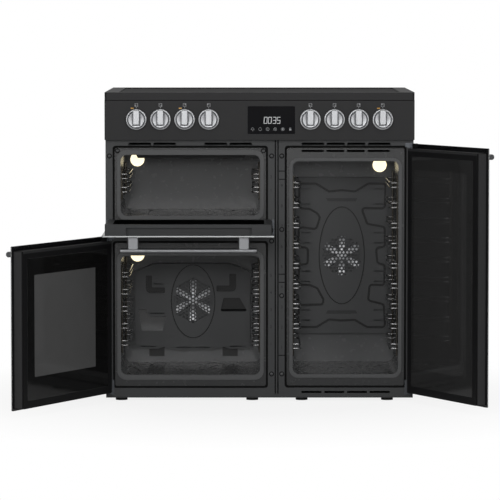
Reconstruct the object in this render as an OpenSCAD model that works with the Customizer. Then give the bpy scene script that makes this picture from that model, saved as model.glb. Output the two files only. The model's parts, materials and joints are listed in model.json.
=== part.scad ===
// Range cooker with a glass hob, a grill oven over a main oven on the left
// and a tall oven on the right. The three doors stand open.
// X runs left to right, Y front to back and Z up. The floor is at Z 0.

/* [Body] */
// Height of the levelling feet
foot_h = 10; // [8:1:40]
// Diameter of a foot
foot_d = 35; // [25:1:50]
// Sheet thickness of the body panels
sheet_t = 1.5; // [1:0.1:2.5]
// Thickness of the front frames
frame_t = 2; // [1.5:0.1:3]
// Width of the frame beside the left ovens
left_post_w = 41.3; // [36:0.1:60]
// Width of the frame right of the left ovens
left_inner_post_w = 40.7; // [36:0.1:60]
// Gap between the two front frames
centre_gap = 10.5; // [8:0.5:16]
// Width of the strip in the middle of that gap
strip_w = 4; // [2:0.5:6]
// Width of the frame left of the tall oven
right_inner_post_w = 38.5; // [34:0.1:60]
// Width of the frame beside the tall oven
right_post_w = 41; // [36:0.1:60]
// Height of the frame below the main oven
main_sill_h = 61; // [56:1:90]
// Height of the frame below the tall oven
tall_sill_h = 62.5; // [56:0.5:90]
// Height of the frame between the main oven and the grill oven
bridge_h = 111; // [100:1:140]
// Height from the grill oven up to the control panel
grill_head_h = 42; // [36:1:60]
// Height from the tall oven up to the control panel
tall_head_h = 60; // [50:1:80]
// Space behind the ovens for the fan motors
rear_space = 175; // [120:1:220]

/* [Ovens] */
// Clear width of the grill oven and the main oven
left_oven_w = 412; // [380:1:440]
// Clear height of the grill oven
grill_oven_h = 183; // [160:1:230]
// Clear height of the main oven
main_oven_h = 355; // [320:1:400]
// Clear width of the tall oven
tall_oven_w = 314; // [290:1:340]
// Clear depth of the ovens
oven_d = 400; // [370:1:440]
// Corner radius of the oven liners
oven_r = 20; // [12:1:28]
// Sheet thickness of the liners
liner_t = 1.2; // [0.8:0.1:2]
// Distance from a liner out to the edge of its window in the frame, at the sides
window_side = 20; // [18:0.5:24]
// Width of the dark groove round a liner's front flange
groove_w = 5; // [3:0.5:7]
// Depth of that groove
groove_d = 8; // [5:0.5:12]
// Height of the rungs' spacing in the main oven
main_rung_pitch = 50.3; // [40:0.1:60]
// Height of the rungs' spacing in the tall oven
tall_rung_pitch = 59.2; // [50:0.1:70]
// Wire radius of the shelf ladders
wire_r = 2; // [1.5:0.1:2.5]
// How far the rungs stand in from the side wall
rung_out = 26; // [20:1:30]
// Depth of the main oven's fan cover
main_cover_d = 26; // [24:1:34]
// Depth of the tall oven's fan cover
tall_cover_d = 20; // [19:1:30]
// Diameter of the fans
fan_d = 124; // [110:1:124]
// Width of the long bead pressed round the tall oven's cover
bead_w = 7; // [5:0.5:8]
// Width of the oval bead round a cover's holes
oval_bead_w = 3.6; // [3:0.1:5]

/* [Hob and panel] */
// Height of the hob trim
hob_h = 23; // [18:1:30]
// Overhang of the hob behind the body
hob_back = 36; // [30:1:60]
// Width of the raised trim round the glass
trim_w = 40; // [30:1:60]
// Height of the trim above the glass
trim_up = 2.5; // [1.5:0.1:4]
// Thickness of the hob glass
hob_glass_t = 4; // [4:0.5:6]
// Height of the control panel
panel_h = 115; // [105:1:140]
// How far the control panel stands in front of the frames
panel_out = 35.6; // [32:0.1:50]
// Diameter of a knob's skirt
knob_d = 60; // [50:1:64]
// Depth of a knob
knob_depth = 30; // [24:1:36]
// Spacing of the knobs
knob_pitch = 70; // [66:1:76]
// Distance from the middle to the nearest knobs
knob_first_x = 147.5; // [140:0.5:160]

/* [Doors] */
// Gap between a closed door and the front frame
door_gap = 4.5; // [3.5:0.1:7]
// Thickness of a door's frame
door_frame_t = 30.5; // [26:0.5:36]
// Thickness of the outer glass
outer_glass_t = 5; // [4:0.5:6]
// Thickness of the inner glass
inner_glass_t = 4; // [3:0.5:5]
// Width of the border round a door's window
door_border = 28; // [24:1:40]
// Angle that the main door opens to
main_open = 118.5; // [90:0.5:120]
// Angle that the tall door opens to
tall_open = 118; // [90:0.5:120]
// Diameter of the door handles
handle_d = 16; // [12:1:20]
// Distance from a door's glass to the middle of its handle
handle_out = 40; // [34:1:50]
// Distance from the top of a door down to its handle
handle_drop = 27; // [22:1:40]

/* [Hidden] */
$fn = 48;

// Base, feet and back
tray_back_h = 25;
foot_stem_d = 16;
foot_pad_drop = 3;
foot_inset = [44, 66, 68.5, 74];
foot_front = 40;
foot_back = 45;
rear_slot_inset = 90;
rear_slot_pitch = 60;
rear_slot_w = 44;
rear_slot_h = 6;
rear_slot_drop = [60, 80];

// Running clearances
touch_gap = 0.3;
cut = 1;
pin_clear = 0.05;
fit_clear = 0.2;

// Widths, from the left edge of the body to the right
overhang = 1;
body_w = left_post_w + left_oven_w + left_inner_post_w + centre_gap
    + right_inner_post_w + tall_oven_w + right_post_w;
overall_w = body_w + 2 * overhang;
body_x0 = -body_w / 2;
body_x1 = body_w / 2;
left_oven_x0 = body_x0 + left_post_w;
left_oven_x1 = left_oven_x0 + left_oven_w;
left_frame_x1 = left_oven_x1 + left_inner_post_w;
right_frame_x0 = left_frame_x1 + centre_gap;
tall_oven_x0 = right_frame_x0 + right_inner_post_w;
tall_oven_x1 = tall_oven_x0 + tall_oven_w;
centre_x = (left_frame_x1 + right_frame_x0) / 2;

// Heights, from the floor up
tray_lip_h = 4;
frame_z0 = foot_h + tray_lip_h;
main_z0 = frame_z0 + main_sill_h;
main_z1 = main_z0 + main_oven_h;
grill_z0 = main_z1 + bridge_h;
grill_z1 = grill_z0 + grill_oven_h;
panel_z0 = grill_z1 + grill_head_h;
tall_z0 = frame_z0 + tall_sill_h;
tall_z1 = panel_z0 - tall_head_h;
panel_z1 = panel_z0 + panel_h;
overall_h = panel_z1 + hob_h;
frame_tuck = 19;
frame_z1 = panel_z0 + frame_tuck;

// Depths, from the front frames back
panel_t = 2;
panel_y = -panel_out;
body_y1 = oven_d + rear_space;
hob_y1 = body_y1 + hob_back;

// Oven openings as [x0, x1, z0, z1]
grill_oven = [left_oven_x0, left_oven_x1, grill_z0, grill_z1];
main_oven = [left_oven_x0, left_oven_x1, main_z0, main_z1];
tall_oven = [tall_oven_x0, tall_oven_x1, tall_z0, tall_z1];

function grow(b, m) = [b[0] - m, b[1] + m, b[2] - m, b[3] + m];
function stretch(b, side, low, high) = [b[0] - side, b[1] + side, b[2] - low, b[3] + high];

// Windows in the front frames
grill_window = stretch(grill_oven, window_side, 22.8, 20.7);
main_window = stretch(main_oven, window_side, 36, 39.4);
tall_window = stretch(tall_oven, window_side, 36.4, 38.1);
window_r = 9;
flange_r = window_r - groove_w / 2;

// Doors, closed, as [x0, x1, z0, z1] of the outer glass
door_side_gap = 2;
door_over = 13.4;
door_under = 6;
doors_apart = 4.2;
doors_z1 = panel_z0 - 12.6;
main_door = [body_x0, left_frame_x1 - door_side_gap, frame_z0 + door_under,
    main_window[3] + door_over];
grill_door = [main_door[0], main_door[1], main_door[3] + doors_apart, doors_z1];
tall_door = [right_frame_x0 + door_side_gap - 0.5, body_x1, main_door[2], doors_z1];
door_y1 = -door_gap;
glass_y1 = door_y1 - door_frame_t;
glass_y0 = glass_y1 - outer_glass_t;
hinge_inset = 2;
free_inset = 8;
top_inset = 13;
grill_low_inset = 11;

// Door pivots
pin_r = 2.5;
pin_wall = 1.3;
pivot_in = hinge_inset + pin_r + pin_wall;
pivot_y = door_y1 - 11;
main_pivot = [body_x0 + pivot_in, pivot_y];
tall_pivot = [body_x1 - pivot_in, pivot_y];
grill_pivot_y = glass_y0 + 12;
grill_pivot_z = grill_door[2] + 23;

// Door handles
handle_inset = 51;
sleeve_len = 74;
sleeve_d = handle_d + 1.6;
handle_y = glass_y0 - handle_out;

// The box round everything, with the doors open, and its middle
function swung(dx, dy, a) = [dx * cos(a) - dy * sin(a), dx * sin(a) + dy * cos(a)];
main_reach = main_door[1] - handle_inset - main_pivot[0];
tall_reach = tall_pivot[0] - tall_door[0] - handle_inset;
main_tip = swung(main_reach, handle_y - pivot_y, -main_open);
tall_tip = swung(-tall_reach, handle_y - pivot_y, tall_open);
main_free = swung(main_door[1] - free_inset - main_pivot[0], door_y1 - pivot_y, -main_open);
box_x0 = main_pivot[0] + main_tip[0] - sleeve_d / 2 * abs(sin(main_open));
box_x1 = tall_pivot[0] + tall_tip[0] + sleeve_d / 2 * abs(sin(tall_open));
box_y0 = pivot_y + main_free[1];
centre_shift = [-(box_x0 + box_x1) / 2, -(box_y0 + hob_y1) / 2, 0];

// Fans
main_fan_at = [(left_oven_x0 + left_oven_x1) / 2 + 1.4, (main_z0 + main_z1) / 2 + 11.5];
tall_fan_at = [(tall_oven_x0 + tall_oven_x1) / 2 - 0.5, (tall_z0 + tall_z1) / 2 + 9];
cover_t = 1.2;
bead_d = 5.5;
oval_bead_d = 4;
pocket_d = 8;
pocket_step = 3.5;
pocket_rim = 4.5;
hole_pitch = 11.05;
hole_d = 7.5;
small_hole_d = 4.4;
fan_r = fan_d / 2;
fan_back = 4;
hub_r = 12;
hub_len = 12;
vane_w = 20;
vane_lip = 9;
shaft_r = 3;
shaft_hole_r = 8;
motor_d = 76;
motor_len = 45;
motor_bore_len = 34;
shaft_len = 30;
ring_r = 88;
heater_r = 3.2;
heater_feet = 22;

// Shelf ladders
ladder_y0 = 35;
ladder_y1 = 360;
rung_gap = 13;
rung_bend = 9;
ladder_post_r = 2.5;

// Panel fittings
knob_z = panel_z0 + 59.5;
knob_gap = 1;
switch_size = 40;
switch_d = 28;
window_box = [-34.6, 103, panel_z0 + 17.3, panel_z0 + 97.8];
timer_d = 22;
timer_rim = 8;
lens_w = 8.7;
lens_h = 3.5;
lens_xs = [-369.8, -230, 345.3];
lens_z = panel_z0 + 92;

// Vent slots, with the height of the two rows above the ovens and of the low row
slot_gap = 7;
slot_h = 8;
low_slot_h = 6;
flange_slot_h = 6.5;
slot_side = 67;
slot_run = 138.5;
slot_drop = 13;
low_slot_up = 12.6;
flange_slot_side = 28;
flange_slot_drop = 11.4;

// Adds up the first n shares
function shares(parts, n) = n == 0 ? 0 : parts[n - 1] + shares(parts, n - 1);

// Spans from x0 to x1 that stand slot_gap apart and divide the rest by their shares
function slots(x0, x1, parts) =
    let (
        n = len(parts),
        share = (x1 - x0 - slot_gap * (n - 1)) / shares(parts, n)
    )
    [for (i = [0:n - 1])
        let (start = x0 + share * shares(parts, i) + slot_gap * i)
        [start, start + share * parts[i]]];

// Lamps
lamp_r = 21;
lamp_t = 4;
lamp_clear = 1;

// Supply box on the back
terminal_box_at = [body_x1 - 200, body_x1 - 80, foot_h + 110, foot_h + 190];
terminal_hole = grow(terminal_box_at, -12);
terminal_d = 28;
terminal_wall = 2;
grommet_r = 9;
grommet_seat_r = 12;
grommet_len = 8;
grommet_rim = 1.5;
grommet_rim_t = 3;

// Placing and drawing helpers
module placed() { translate(centre_shift) children(); }
module xz(y0, y1) { translate([0, y1, 0]) rotate([90, 0, 0]) linear_extrude(y1 - y0) children(); }
module yz(x0, x1) { translate([x0, 0, 0]) rotate([90, 0, 90]) linear_extrude(x1 - x0) children(); }
module xy(z0, z1) { translate([0, 0, z0]) linear_extrude(z1 - z0) children(); }
module rod_y(x, z, y0, y1, r) { translate([x, y1, z]) rotate([90, 0, 0]) cylinder(r = r, h = y1 - y0); }

module rect(b) { translate([b[0], b[2]]) square([b[1] - b[0], b[3] - b[2]]); }

module round_rect(b, r) {
    rect([b[0] + r, b[1] - r, b[2], b[3]]);
    rect([b[0], b[1], b[2] + r, b[3] - r]);
    for (x = [b[0] + r, b[1] - r], z = [b[2] + r, b[3] - r]) translate([x, z]) circle(r);
}

module ring(outer, outer_r, inner, inner_r) {
    difference() {
        round_rect(outer, outer_r);
        round_rect(inner, inner_r);
    }
}

// A slot with round ends, lying flat
module slot(x0, x1, z, h) {
    rect([x0 + h / 2, x1 - h / 2, z - h / 2, z + h / 2]);
    for (x = [x0 + h / 2, x1 - h / 2]) translate([x, z]) circle(h / 2);
}

// Moves a closed outline in or out by d along its edges' normals
function unit(v) = v / norm(v);
function normal(a, b) = let (u = unit(b - a)) [u[1], -u[0]];
function moved(p, d) = [
    for (i = [0:len(p) - 1])
        let (
            n = len(p),
            n0 = normal(p[(i + n - 1) % n], p[i]),
            n1 = normal(p[i], p[(i + 1) % n])
        )
        p[i] + d * (n0 + n1) / (1 + n0 * n1)
];

// Rounds the corners of a closed outline, each by its own radius or all by one
function rounded(p, r) = [
    for (i = [0:len(p) - 1])
        let (
            n = len(p),
            b = p[i],
            back = p[(i + n - 1) % n] - b,
            on = p[(i + 1) % n] - b,
            turn = 180 - acos(unit(back) * unit(on)),
            reach = min((is_list(r) ? r[i] : r) * tan(turn / 2), 0.45 * norm(back), 0.45 * norm(on)),
            start = b + unit(back) * reach,
            end = b + unit(on) * reach,
            steps = max(1, round(turn / 22))
        )
        for (k = [0:steps])
            let (t = k / steps)
            start * (1 - t) * (1 - t) + b * 2 * t * (1 - t) + end * t * t
];

function oval(rx, rz, z) = [for (a = [0:7.5:352.5]) [rx * sin(a), z + rz * cos(a)]];

module band(path, w) {
    difference() {
        polygon(moved(path, -w / 2));
        polygon(moved(path, w / 2));
    }
}

// A channel pressed back from y along a closed outline, in sheet of thickness t
module bead(path, w, y, depth, t) {
    difference() {
        xz(y, y + depth + t) band(path, w + 2 * t);
        xz(y - cut, y + depth) band(path, w);
    }
}

// A pocket pressed back from y, in sheet of thickness t
module pocket(path, y, depth, t) {
    difference() {
        xz(y, y + depth + t) polygon(moved(path, -t));
        xz(y - cut, y + depth) polygon(path);
    }
}

// A pocket with a shallower rim inside its outline, whose corners are rounded by radii
module stepped_pocket(corners, radii, y) {
    path = rounded(corners, radii);
    inner = rounded(moved(corners, pocket_rim), [for (r = radii) max(r - pocket_rim, 2 * cover_t)]);
    difference() {
        union() {
            xz(y, y + pocket_step + cover_t) polygon(moved(path, -cover_t));
            xz(y, y + pocket_d + cover_t) polygon(moved(inner, -cover_t));
        }
        xz(y - cut, y + pocket_step) polygon(path);
        xz(y - cut, y + pocket_d) polygon(inner);
    }
}

// Body

module base_tray() {
    color("#202124") placed() {
        xy(foot_h, foot_h + sheet_t) rect([body_x0, body_x1, 0, body_y1]);
        xy(foot_h, frame_z0) rect([body_x0, body_x1, 0, frame_t]);
        xy(foot_h, foot_h + tray_back_h) rect([body_x0 + sheet_t, body_x1 - sheet_t,
            body_y1 - 2 * sheet_t, body_y1 - sheet_t]);
    }
}

module levelling_feet() {
    color("#111111") placed()
        for (x = [body_x0 + foot_inset[0], left_frame_x1 - foot_inset[1],
                    right_frame_x0 + foot_inset[2], body_x1 - foot_inset[3]],
                y = [foot_front, body_y1 - foot_back]) translate([x, y, 0]) {
            cylinder(d = foot_d, h = foot_h - foot_pad_drop);
            cylinder(d = foot_stem_d, h = foot_h);
        }
}

module side_panel(x0) {
    yz(x0, x0 + sheet_t) rect([frame_t, body_y1, foot_h + sheet_t, panel_z1]);
}

module side_panel_left() { color("#2b2c2f") placed() side_panel(body_x0); }
module side_panel_right() { color("#2b2c2f") placed() side_panel(body_x1 - sheet_t); }

module rear_panel() {
    color("#2b2c2f") placed() xz(body_y1 - sheet_t, body_y1) difference() {
        rect([body_x0 + sheet_t, body_x1 - sheet_t, foot_h + sheet_t, panel_z1]);
        for (x = [body_x0 + rear_slot_inset:rear_slot_pitch:body_x1 - rear_slot_inset], drop = rear_slot_drop)
            slot(x - rear_slot_w / 2, x + rear_slot_w / 2, panel_z1 - drop, rear_slot_h);
        rect(terminal_hole);
    }
}

module terminal_box() {
    b = terminal_box_at;
    color("#2b2c2f") placed() difference() {
        xz(body_y1, body_y1 + terminal_d) rect(b);
        xz(body_y1 - cut, body_y1 + terminal_d - terminal_wall) rect(grow(b, -terminal_wall));
        translate([(b[0] + b[1]) / 2, body_y1 + terminal_d / 2, b[2] - cut])
            cylinder(r = grommet_seat_r, h = terminal_wall + 2 * cut);
    }
}

module cable_grommet() {
    b = terminal_box_at;
    color("#111111") placed()
        translate([(b[0] + b[1]) / 2, body_y1 + terminal_d / 2, b[2]]) difference() {
            union() {
                translate([0, 0, -grommet_rim_t])
                    cylinder(r = grommet_seat_r + grommet_rim, h = grommet_rim_t);
                translate([0, 0, -grommet_rim_t]) cylinder(r = grommet_seat_r, h = grommet_len);
            }
            translate([0, 0, -grommet_rim_t - cut]) cylinder(r = grommet_r, h = grommet_len + 2 * cut);
        }
}

// The lip that turns back from a window in a front frame
module window_lip(w) {
    xz(0, groove_d) ring(grow(w, sheet_t), window_r + sheet_t, w, window_r);
}

module vent_row(spans, z, h) {
    for (s = spans) slot(s[0], s[1], z, h);
}

module front_frame_left() {
    color("#3f4043") placed() {
        xz(0, frame_t) difference() {
            rect([body_x0, left_frame_x1, frame_z0, frame_z1]);
            round_rect(grill_window, window_r);
            round_rect(main_window, window_r);
            vent_row(slots(body_x0 + slot_side, body_x0 + slot_side + slot_run, [1, 1]),
                panel_z0 - slot_drop, slot_h);
            vent_row(slots(left_frame_x1 - slot_side - slot_run, left_frame_x1 - slot_side, [1, 1]),
                panel_z0 - slot_drop, slot_h);
        }
        window_lip(grill_window);
        window_lip(main_window);
    }
}

module front_frame_right() {
    color("#3f4043") placed() {
        xz(0, frame_t) difference() {
            rect([right_frame_x0, body_x1, frame_z0, frame_z1]);
            round_rect(tall_window, window_r);
            vent_row(slots(right_frame_x0 + slot_side, body_x1 - slot_side, [5, 4, 4, 5]),
                panel_z0 - slot_drop, slot_h);
            vent_row(slots(right_frame_x0 + slot_side, body_x1 - slot_side, [1, 1, 1, 1]),
                frame_z0 + low_slot_up, low_slot_h);
        }
        window_lip(tall_window);
    }
}

strip_lap = 8;
module centre_strip() {
    half = strip_w / 2;
    back = centre_gap / 2 + strip_lap;
    color("#3f4043") placed() xy(frame_z0, frame_z1) {
        rect([centre_x - half, centre_x + half, 0, frame_t]);
        rect([centre_x - back, centre_x + back, frame_t, frame_t + sheet_t]);
    }
}

// Ovens

// A liner with its front flange, and the channel that seats it behind a frame window
channel_gap = 3;
module liner(b, w) {
    lip = grow(w, -groove_w);
    xz(0, liner_t) ring(lip, flange_r, b, oven_r);
    xz(0, groove_d + liner_t) ring(lip, flange_r, grow(lip, -liner_t), flange_r - liner_t);
    xz(groove_d, groove_d + liner_t)
        ring(grow(w, channel_gap), window_r + channel_gap, grow(lip, -liner_t), flange_r - liner_t);
    xz(0, oven_d) ring(grow(b, liner_t), oven_r + liner_t, b, oven_r);
}

// A shallow field pressed down in an oven's floor: inset at the sides, front, back
floor_field_d = 1.5;
floor_field_r = 12;
left_floor_field = [79, 90, 321];
tall_floor_field = [45, 90, 290];

module floor_outline(b, f, m) {
    round_rect([b[0] + f[0] - m, b[1] - f[0] + m, f[1] - m, f[2] + m], floor_field_r + m);
}

module pressed_floor(b, f) {
    low = b[2] - floor_field_d;
    difference() {
        children();
        xy(b[2] - liner_t - cut, b[2] + cut) floor_outline(b, f, 0);
    }
    xy(low - liner_t, low) floor_outline(b, f, liner_t);
    xy(low - liner_t, b[2]) difference() {
        floor_outline(b, f, liner_t);
        floor_outline(b, f, 0);
    }
}

module liner_back(b) { xz(oven_d, oven_d + liner_t) round_rect(grow(b, liner_t), oven_r + liner_t); }

// The field pressed back into the grill oven's back wall
field_d = 3;
function grill_field(b) =
    let (
        x0 = b[0] + 37.7,
        x1 = b[1] - 33.3,
        low = b[2] + 37,
        high = b[3] - 46,
        drop = 58
    )
    rounded([
        [x0 + 65, high], [x1 - 65, high], [x1, high - drop], [x1, low], [x0, low], [x0, high - drop]
    ], [12, 12, 30, 36, 36, 30]);

module grill_cavity() {
    field = grill_field(grill_oven);
    color("#2e2f31") placed() {
        pressed_floor(grill_oven, left_floor_field) liner(grill_oven, grill_window);
        difference() {
            liner_back(grill_oven);
            xz(oven_d - cut, oven_d + liner_t + cut) polygon(field);
        }
        pocket(field, oven_d, field_d, liner_t);
    }
}

module fan_liner(b, w, at, f) {
    pressed_floor(b, f) liner(b, w);
    difference() {
        liner_back(b);
        rod_y(at[0], at[1], oven_d - cut, oven_d + 2 * liner_t, shaft_hole_r);
    }
}

// The raised field of the main oven's back wall, with a step up in its lower edge
wall_raise = 1.5;
main_wall_y = oven_d - wall_raise;
function main_field(b, x) =
    let (
        x0 = b[0] + 14,
        x1 = b[1] - 10,
        low = b[2] + 23,
        step = b[2] + 34,
        high = b[3] - 20
    )
    rounded([
        [x0, high], [x1, high], [x1, low], [x + 61, low], [x + 53, step],
        [x - 48, step], [x - 56, low], [x0, low]
    ], [16, 16, 20, 4, 4, 4, 4, 20]);

module main_cavity() {
    color("#2e2f31") placed() {
        fan_liner(main_oven, main_window, main_fan_at, left_floor_field);
        difference() {
            xz(main_wall_y, oven_d) polygon(main_field(main_oven, main_fan_at[0]));
            rod_y(main_fan_at[0], main_fan_at[1], main_wall_y - cut, oven_d + cut, shaft_hole_r);
            rod_y(main_lamp_at[0], main_lamp_at[1], main_wall_y - cut, oven_d + cut, lamp_r + lamp_clear);
        }
    }
}

// Steam holes and rack studs in the tall oven's floor: distance from its middle
steam_hole_xs = [4, 17, 26, 34, 55];
steam_hole_y = 356;
steam_hole_d = 4;
stud_hole_xs = [50.5, 69];
stud_hole_y = 141;
stud_hole_d = 6;
module floor_hole(x, y, d) {
    translate([x, y, tall_z0 - floor_field_d - 2 * liner_t]) cylinder(d = d, h = 4 * liner_t + floor_field_d);
}

module tall_cavity() {
    mid = (tall_oven_x0 + tall_oven_x1) / 2;
    color("#2e2f31") placed() difference() {
        fan_liner(tall_oven, tall_window, tall_fan_at, tall_floor_field);
        for (side = [-1, 1], x = steam_hole_xs) floor_hole(mid + side * x, steam_hole_y, steam_hole_d);
        for (side = [-1, 1], x = stud_hole_xs) floor_hole(mid + side * x, stud_hole_y, stud_hole_d);
        xz(-cut, liner_t + cut)
            vent_row(slots(tall_oven_x0 + flange_slot_side, tall_oven_x1 - flange_slot_side, [5, 4, 4, 5]),
                tall_window[3] - flange_slot_drop, flange_slot_h);
    }
}

// A door seal of a wide foot and a narrow crown, stopping just short of the closed door
seal_in = 3;
seal_step = 2.5;
seal_foot = 0.6;
module seal(b, out) {
    crown = door_gap - touch_gap;
    outer = stretch(b, out[0], out[1], out[2]);
    inner = grow(b, -seal_in);
    xz(-crown * seal_foot, 0) ring(outer, oven_r + 6, inner, oven_r - 2);
    xz(-crown, -crown * seal_foot)
        ring(grow(outer, -seal_step), oven_r + 4, grow(inner, seal_step), oven_r);
}

// How far each seal stands out from its oven: side, low, high
grill_seal_out = [8, 10.6, 11.3];
main_seal_out = [8, 12.5, 11];
tall_seal_out = [7, 8, 6];
module grill_seal() { color("#4a4b4d") placed() seal(grill_oven, grill_seal_out); }
module main_seal() { color("#4a4b4d") placed() seal(main_oven, main_seal_out); }
module tall_seal() { color("#4a4b4d") placed() seal(tall_oven, tall_seal_out); }

// Fan covers

// Outline of the main cover about the fan, with chamfered top corners and a waved lower edge
main_cover_path = rounded([
    [-176, -147], [-176, 87.6], [-116, 111.6], [113, 111.6], [173, 87.6], [173, -147],
    [112, -147], [92, -141], [60, -150], [-58, -150], [-86, -141], [-106, -147]
], [3, 6, 6, 6, 6, 3, 8, 8, 8, 8, 8, 8]);
// Outline of the tall cover about the fan
tall_cover_path = rounded(
    [[-139.6, -237], [-139.6, 237], [139.6, 237], [139.6, -237]], [3, 10, 10, 3]);

module cover_shell(path, y0, y1) {
    xz(y0, y1) difference() {
        polygon(path);
        polygon(moved(path, cover_t));
    }
}

// Pressings of the main cover: two angles, a sloping tray and a scoop
left_angle = [
    [-143.4, 75.6], [-124.6, 75.6], [-124.6, 39.5], [-85.5, 39.5], [-85.5, 21.8], [-143.4, 21.8]
];
left_radii = [3, 3, 3, 3, 3, 16];
right_angle = [[110, 81.2], [130.7, 81.2], [130.7, 26.7], [70.9, 26.7], [70.9, 45.5], [110, 45.5]];
right_radii = [3, 3, 16, 3, 3, 3];
tray_low = -33.8;
tray_path = rounded(
    [[92.3, 7.9], [141.2, 7.9], [162.6, -29], [159, tray_low], [85.5, tray_low], [83.6, -29]], 4);
tray_bend = -27;
scoop_path = [
    [-165, -27], [-140.8, -27], [-140.8, -36], [-135, -48.5], [-81.8, -48.5], [-92, -92], [-155.8, -92],
    [-165, -35]
];
scoop_high = scoop_path[0][1];
scoop_low = scoop_path[6][1];
main_oval = oval(66, 111, -3);
cover_slot_h = 4;
main_cover_slots = [
    [-119.5, -92.5, 50], [-131, -88, -39.5],
    [-158, -113, -140], [-52, -4, -143], [4, 51, -143], [112, 157, -140]
];

// Pressings of the tall cover
tall_oval = oval(68.6, 147.3, 0);
tall_bead = rounded([
    [-129, 218], [-78, 218], [-39, 194], [0, 198], [40, 194], [80, 218], [132, 218], [130, 143],
    [59, 144], [77, 96], [130, 86], [131, 27], [104, 23], [108, -23], [130, -29], [130, -90],
    [85, -89], [80, -137], [128, -149], [132, -218], [77, -218], [40, -196], [0, -198], [-39, -195],
    [-76, -218], [-130, -218], [-131, -151], [-58, -149], [-55, -135], [-74, -100], [-97, -90],
    [-129, -89], [-131, -29], [-103, -26], [-103, 23], [-129, 26], [-131, 86], [-78, 80],
    [-66, 114], [-74, 127], [-97, 141], [-129, 143]
], 10);
tall_tray = [[-48, 174], [48, 174], [42.5, 164], [-42.5, 164]];
tall_low_tray = [[-42.5, -167], [42.5, -167], [48, -177], [-48, -177]];
tall_tray_d = 2.5;
tall_cover_slots = [
    for (z = [202, 156, 69, 38, -48, -79, -166, -197], x = [-124, 97]) [x, x + 28, z]
];

module cover_slots(list) {
    for (s = list) slot(s[0], s[1], s[2], cover_slot_h);
}

// Columns of holes in a hexagon with a point at the top and the bottom
module main_holes() {
    for (i = [-5:5], j = [0:12 - abs(i)])
        translate([i * hole_pitch * sin(60), (j - (12 - abs(i)) / 2) * hole_pitch])
            circle(d = hole_d);
    for (i = [-6, 6], j = [-1:1])
        translate([i * hole_pitch * sin(60), j * hole_pitch]) circle(d = small_hole_d);
}

// Rows of holes in a disc, small round its rim
module tall_holes() {
    for (j = [-6:6], i = [-6:6]) {
        at = [i + (j % 2 == 0 ? 0 : 0.5), j * sin(60)];
        far = norm(at);
        if (far <= 5.3) translate(at * hole_pitch) circle(d = far <= 5.01 ? hole_d : small_hole_d);
    }
}

// A pocket floor that slopes from the front sheet at z_front back to the depth at z_back
floor_reach = 200;
module sloping_floor(path, y, z_front, z_back) {
    intersection() {
        xz(y, y + pocket_d + cover_t) polygon(moved(path, -cover_t / 2));
        yz(-floor_reach, floor_reach) polygon([
            [y, z_front], [y + pocket_d, z_back], [y + pocket_d + cover_t, z_back],
            [y + pocket_d + cover_t, z_front]
        ]);
    }
}

// Two flanges that hold the main cover to the back wall
flange_spans = [[-133.6, -87], [89, 135]];
flange_low = -172;
flange_high = -143;

module main_fan_cover() {
    y0 = oven_d - main_cover_d;
    color("#4c4d50") placed() translate([main_fan_at[0], 0, main_fan_at[1]]) {
        cover_shell(main_cover_path, y0, main_wall_y);
        xz(y0, y0 + cover_t) difference() {
            polygon(main_cover_path);
            main_holes();
            band(main_oval, oval_bead_w);
            for (p = [rounded(left_angle, left_radii), rounded(right_angle, right_radii)]) polygon(p);
            for (p = [tray_path, scoop_path]) polygon(p);
            cover_slots(main_cover_slots);
        }
        bead(main_oval, oval_bead_w, y0, oval_bead_d, cover_t);
        stepped_pocket(left_angle, left_radii, y0);
        stepped_pocket(right_angle, right_radii, y0);
        pocket(tray_path, y0, pocket_d, cover_t);
        sloping_floor(tray_path, y0, tray_low, tray_bend);
        pocket(scoop_path, y0, pocket_d, cover_t);
        sloping_floor(scoop_path, y0, scoop_low, scoop_high);
        for (f = flange_spans)
            xz(main_wall_y - cover_t, main_wall_y) rect([f[0], f[1], flange_low, flange_high]);
    }
}

module tall_fan_cover() {
    y0 = oven_d - tall_cover_d;
    color("#4c4d50") placed() translate([tall_fan_at[0], 0, tall_fan_at[1]]) {
        cover_shell(tall_cover_path, y0, oven_d);
        xz(y0, y0 + cover_t) difference() {
            polygon(tall_cover_path);
            tall_holes();
            band(tall_oval, oval_bead_w);
            band(tall_bead, bead_w);
            for (p = [tall_tray, tall_low_tray]) polygon(p);
            cover_slots(tall_cover_slots);
        }
        bead(tall_oval, oval_bead_w, y0, oval_bead_d, cover_t);
        bead(tall_bead, bead_w, y0, bead_d, cover_t);
        for (p = [tall_tray, tall_low_tray]) pocket(p, y0, tall_tray_d, cover_t);
    }
}

// Six bent vanes on a hub, and a shaft that runs back into the motor
module fan(at, y0) {
    color("#c9cbcd") placed() translate([at[0], 0, at[1]]) {
        rod_y(0, 0, y0, y0 + hub_len, hub_r);
        rod_y(0, 0, y0 + hub_len - cut, oven_d + shaft_len, shaft_r);
        for (a = [0:60:300]) rotate([0, a, 0]) {
            translate([hub_r - 4, y0, -vane_w / 2]) cube([fan_r - hub_r + 4, cover_t, vane_w]);
            translate([hub_r + 4, y0, vane_w / 2 - cover_t]) cube([fan_r - hub_r - 4, vane_lip, cover_t]);
        }
    }
}

module main_fan() { fan(main_fan_at, oven_d - main_cover_d + fan_back); }
module tall_fan() { fan(tall_fan_at, oven_d - tall_cover_d + fan_back); }

module ring_heater(at, y, wall_y) {
    translate([at[0], y, at[1]]) {
        rotate([90, 0, 0]) rotate_extrude($fn = 72) translate([ring_r, 0]) circle(heater_r, $fn = 16);
        for (x = [-heater_feet, heater_feet])
            translate([x, 0, -sqrt(ring_r * ring_r - x * x)])
                rotate([-90, 0, 0]) cylinder(r = heater_r + 0.8, h = wall_y - y);
    }
}

module fan_elements() {
    color("#5a4a42") placed() {
        ring_heater(main_fan_at, main_wall_y - 8, main_wall_y);
        ring_heater(tall_fan_at, oven_d - 8, oven_d);
    }
}

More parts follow.
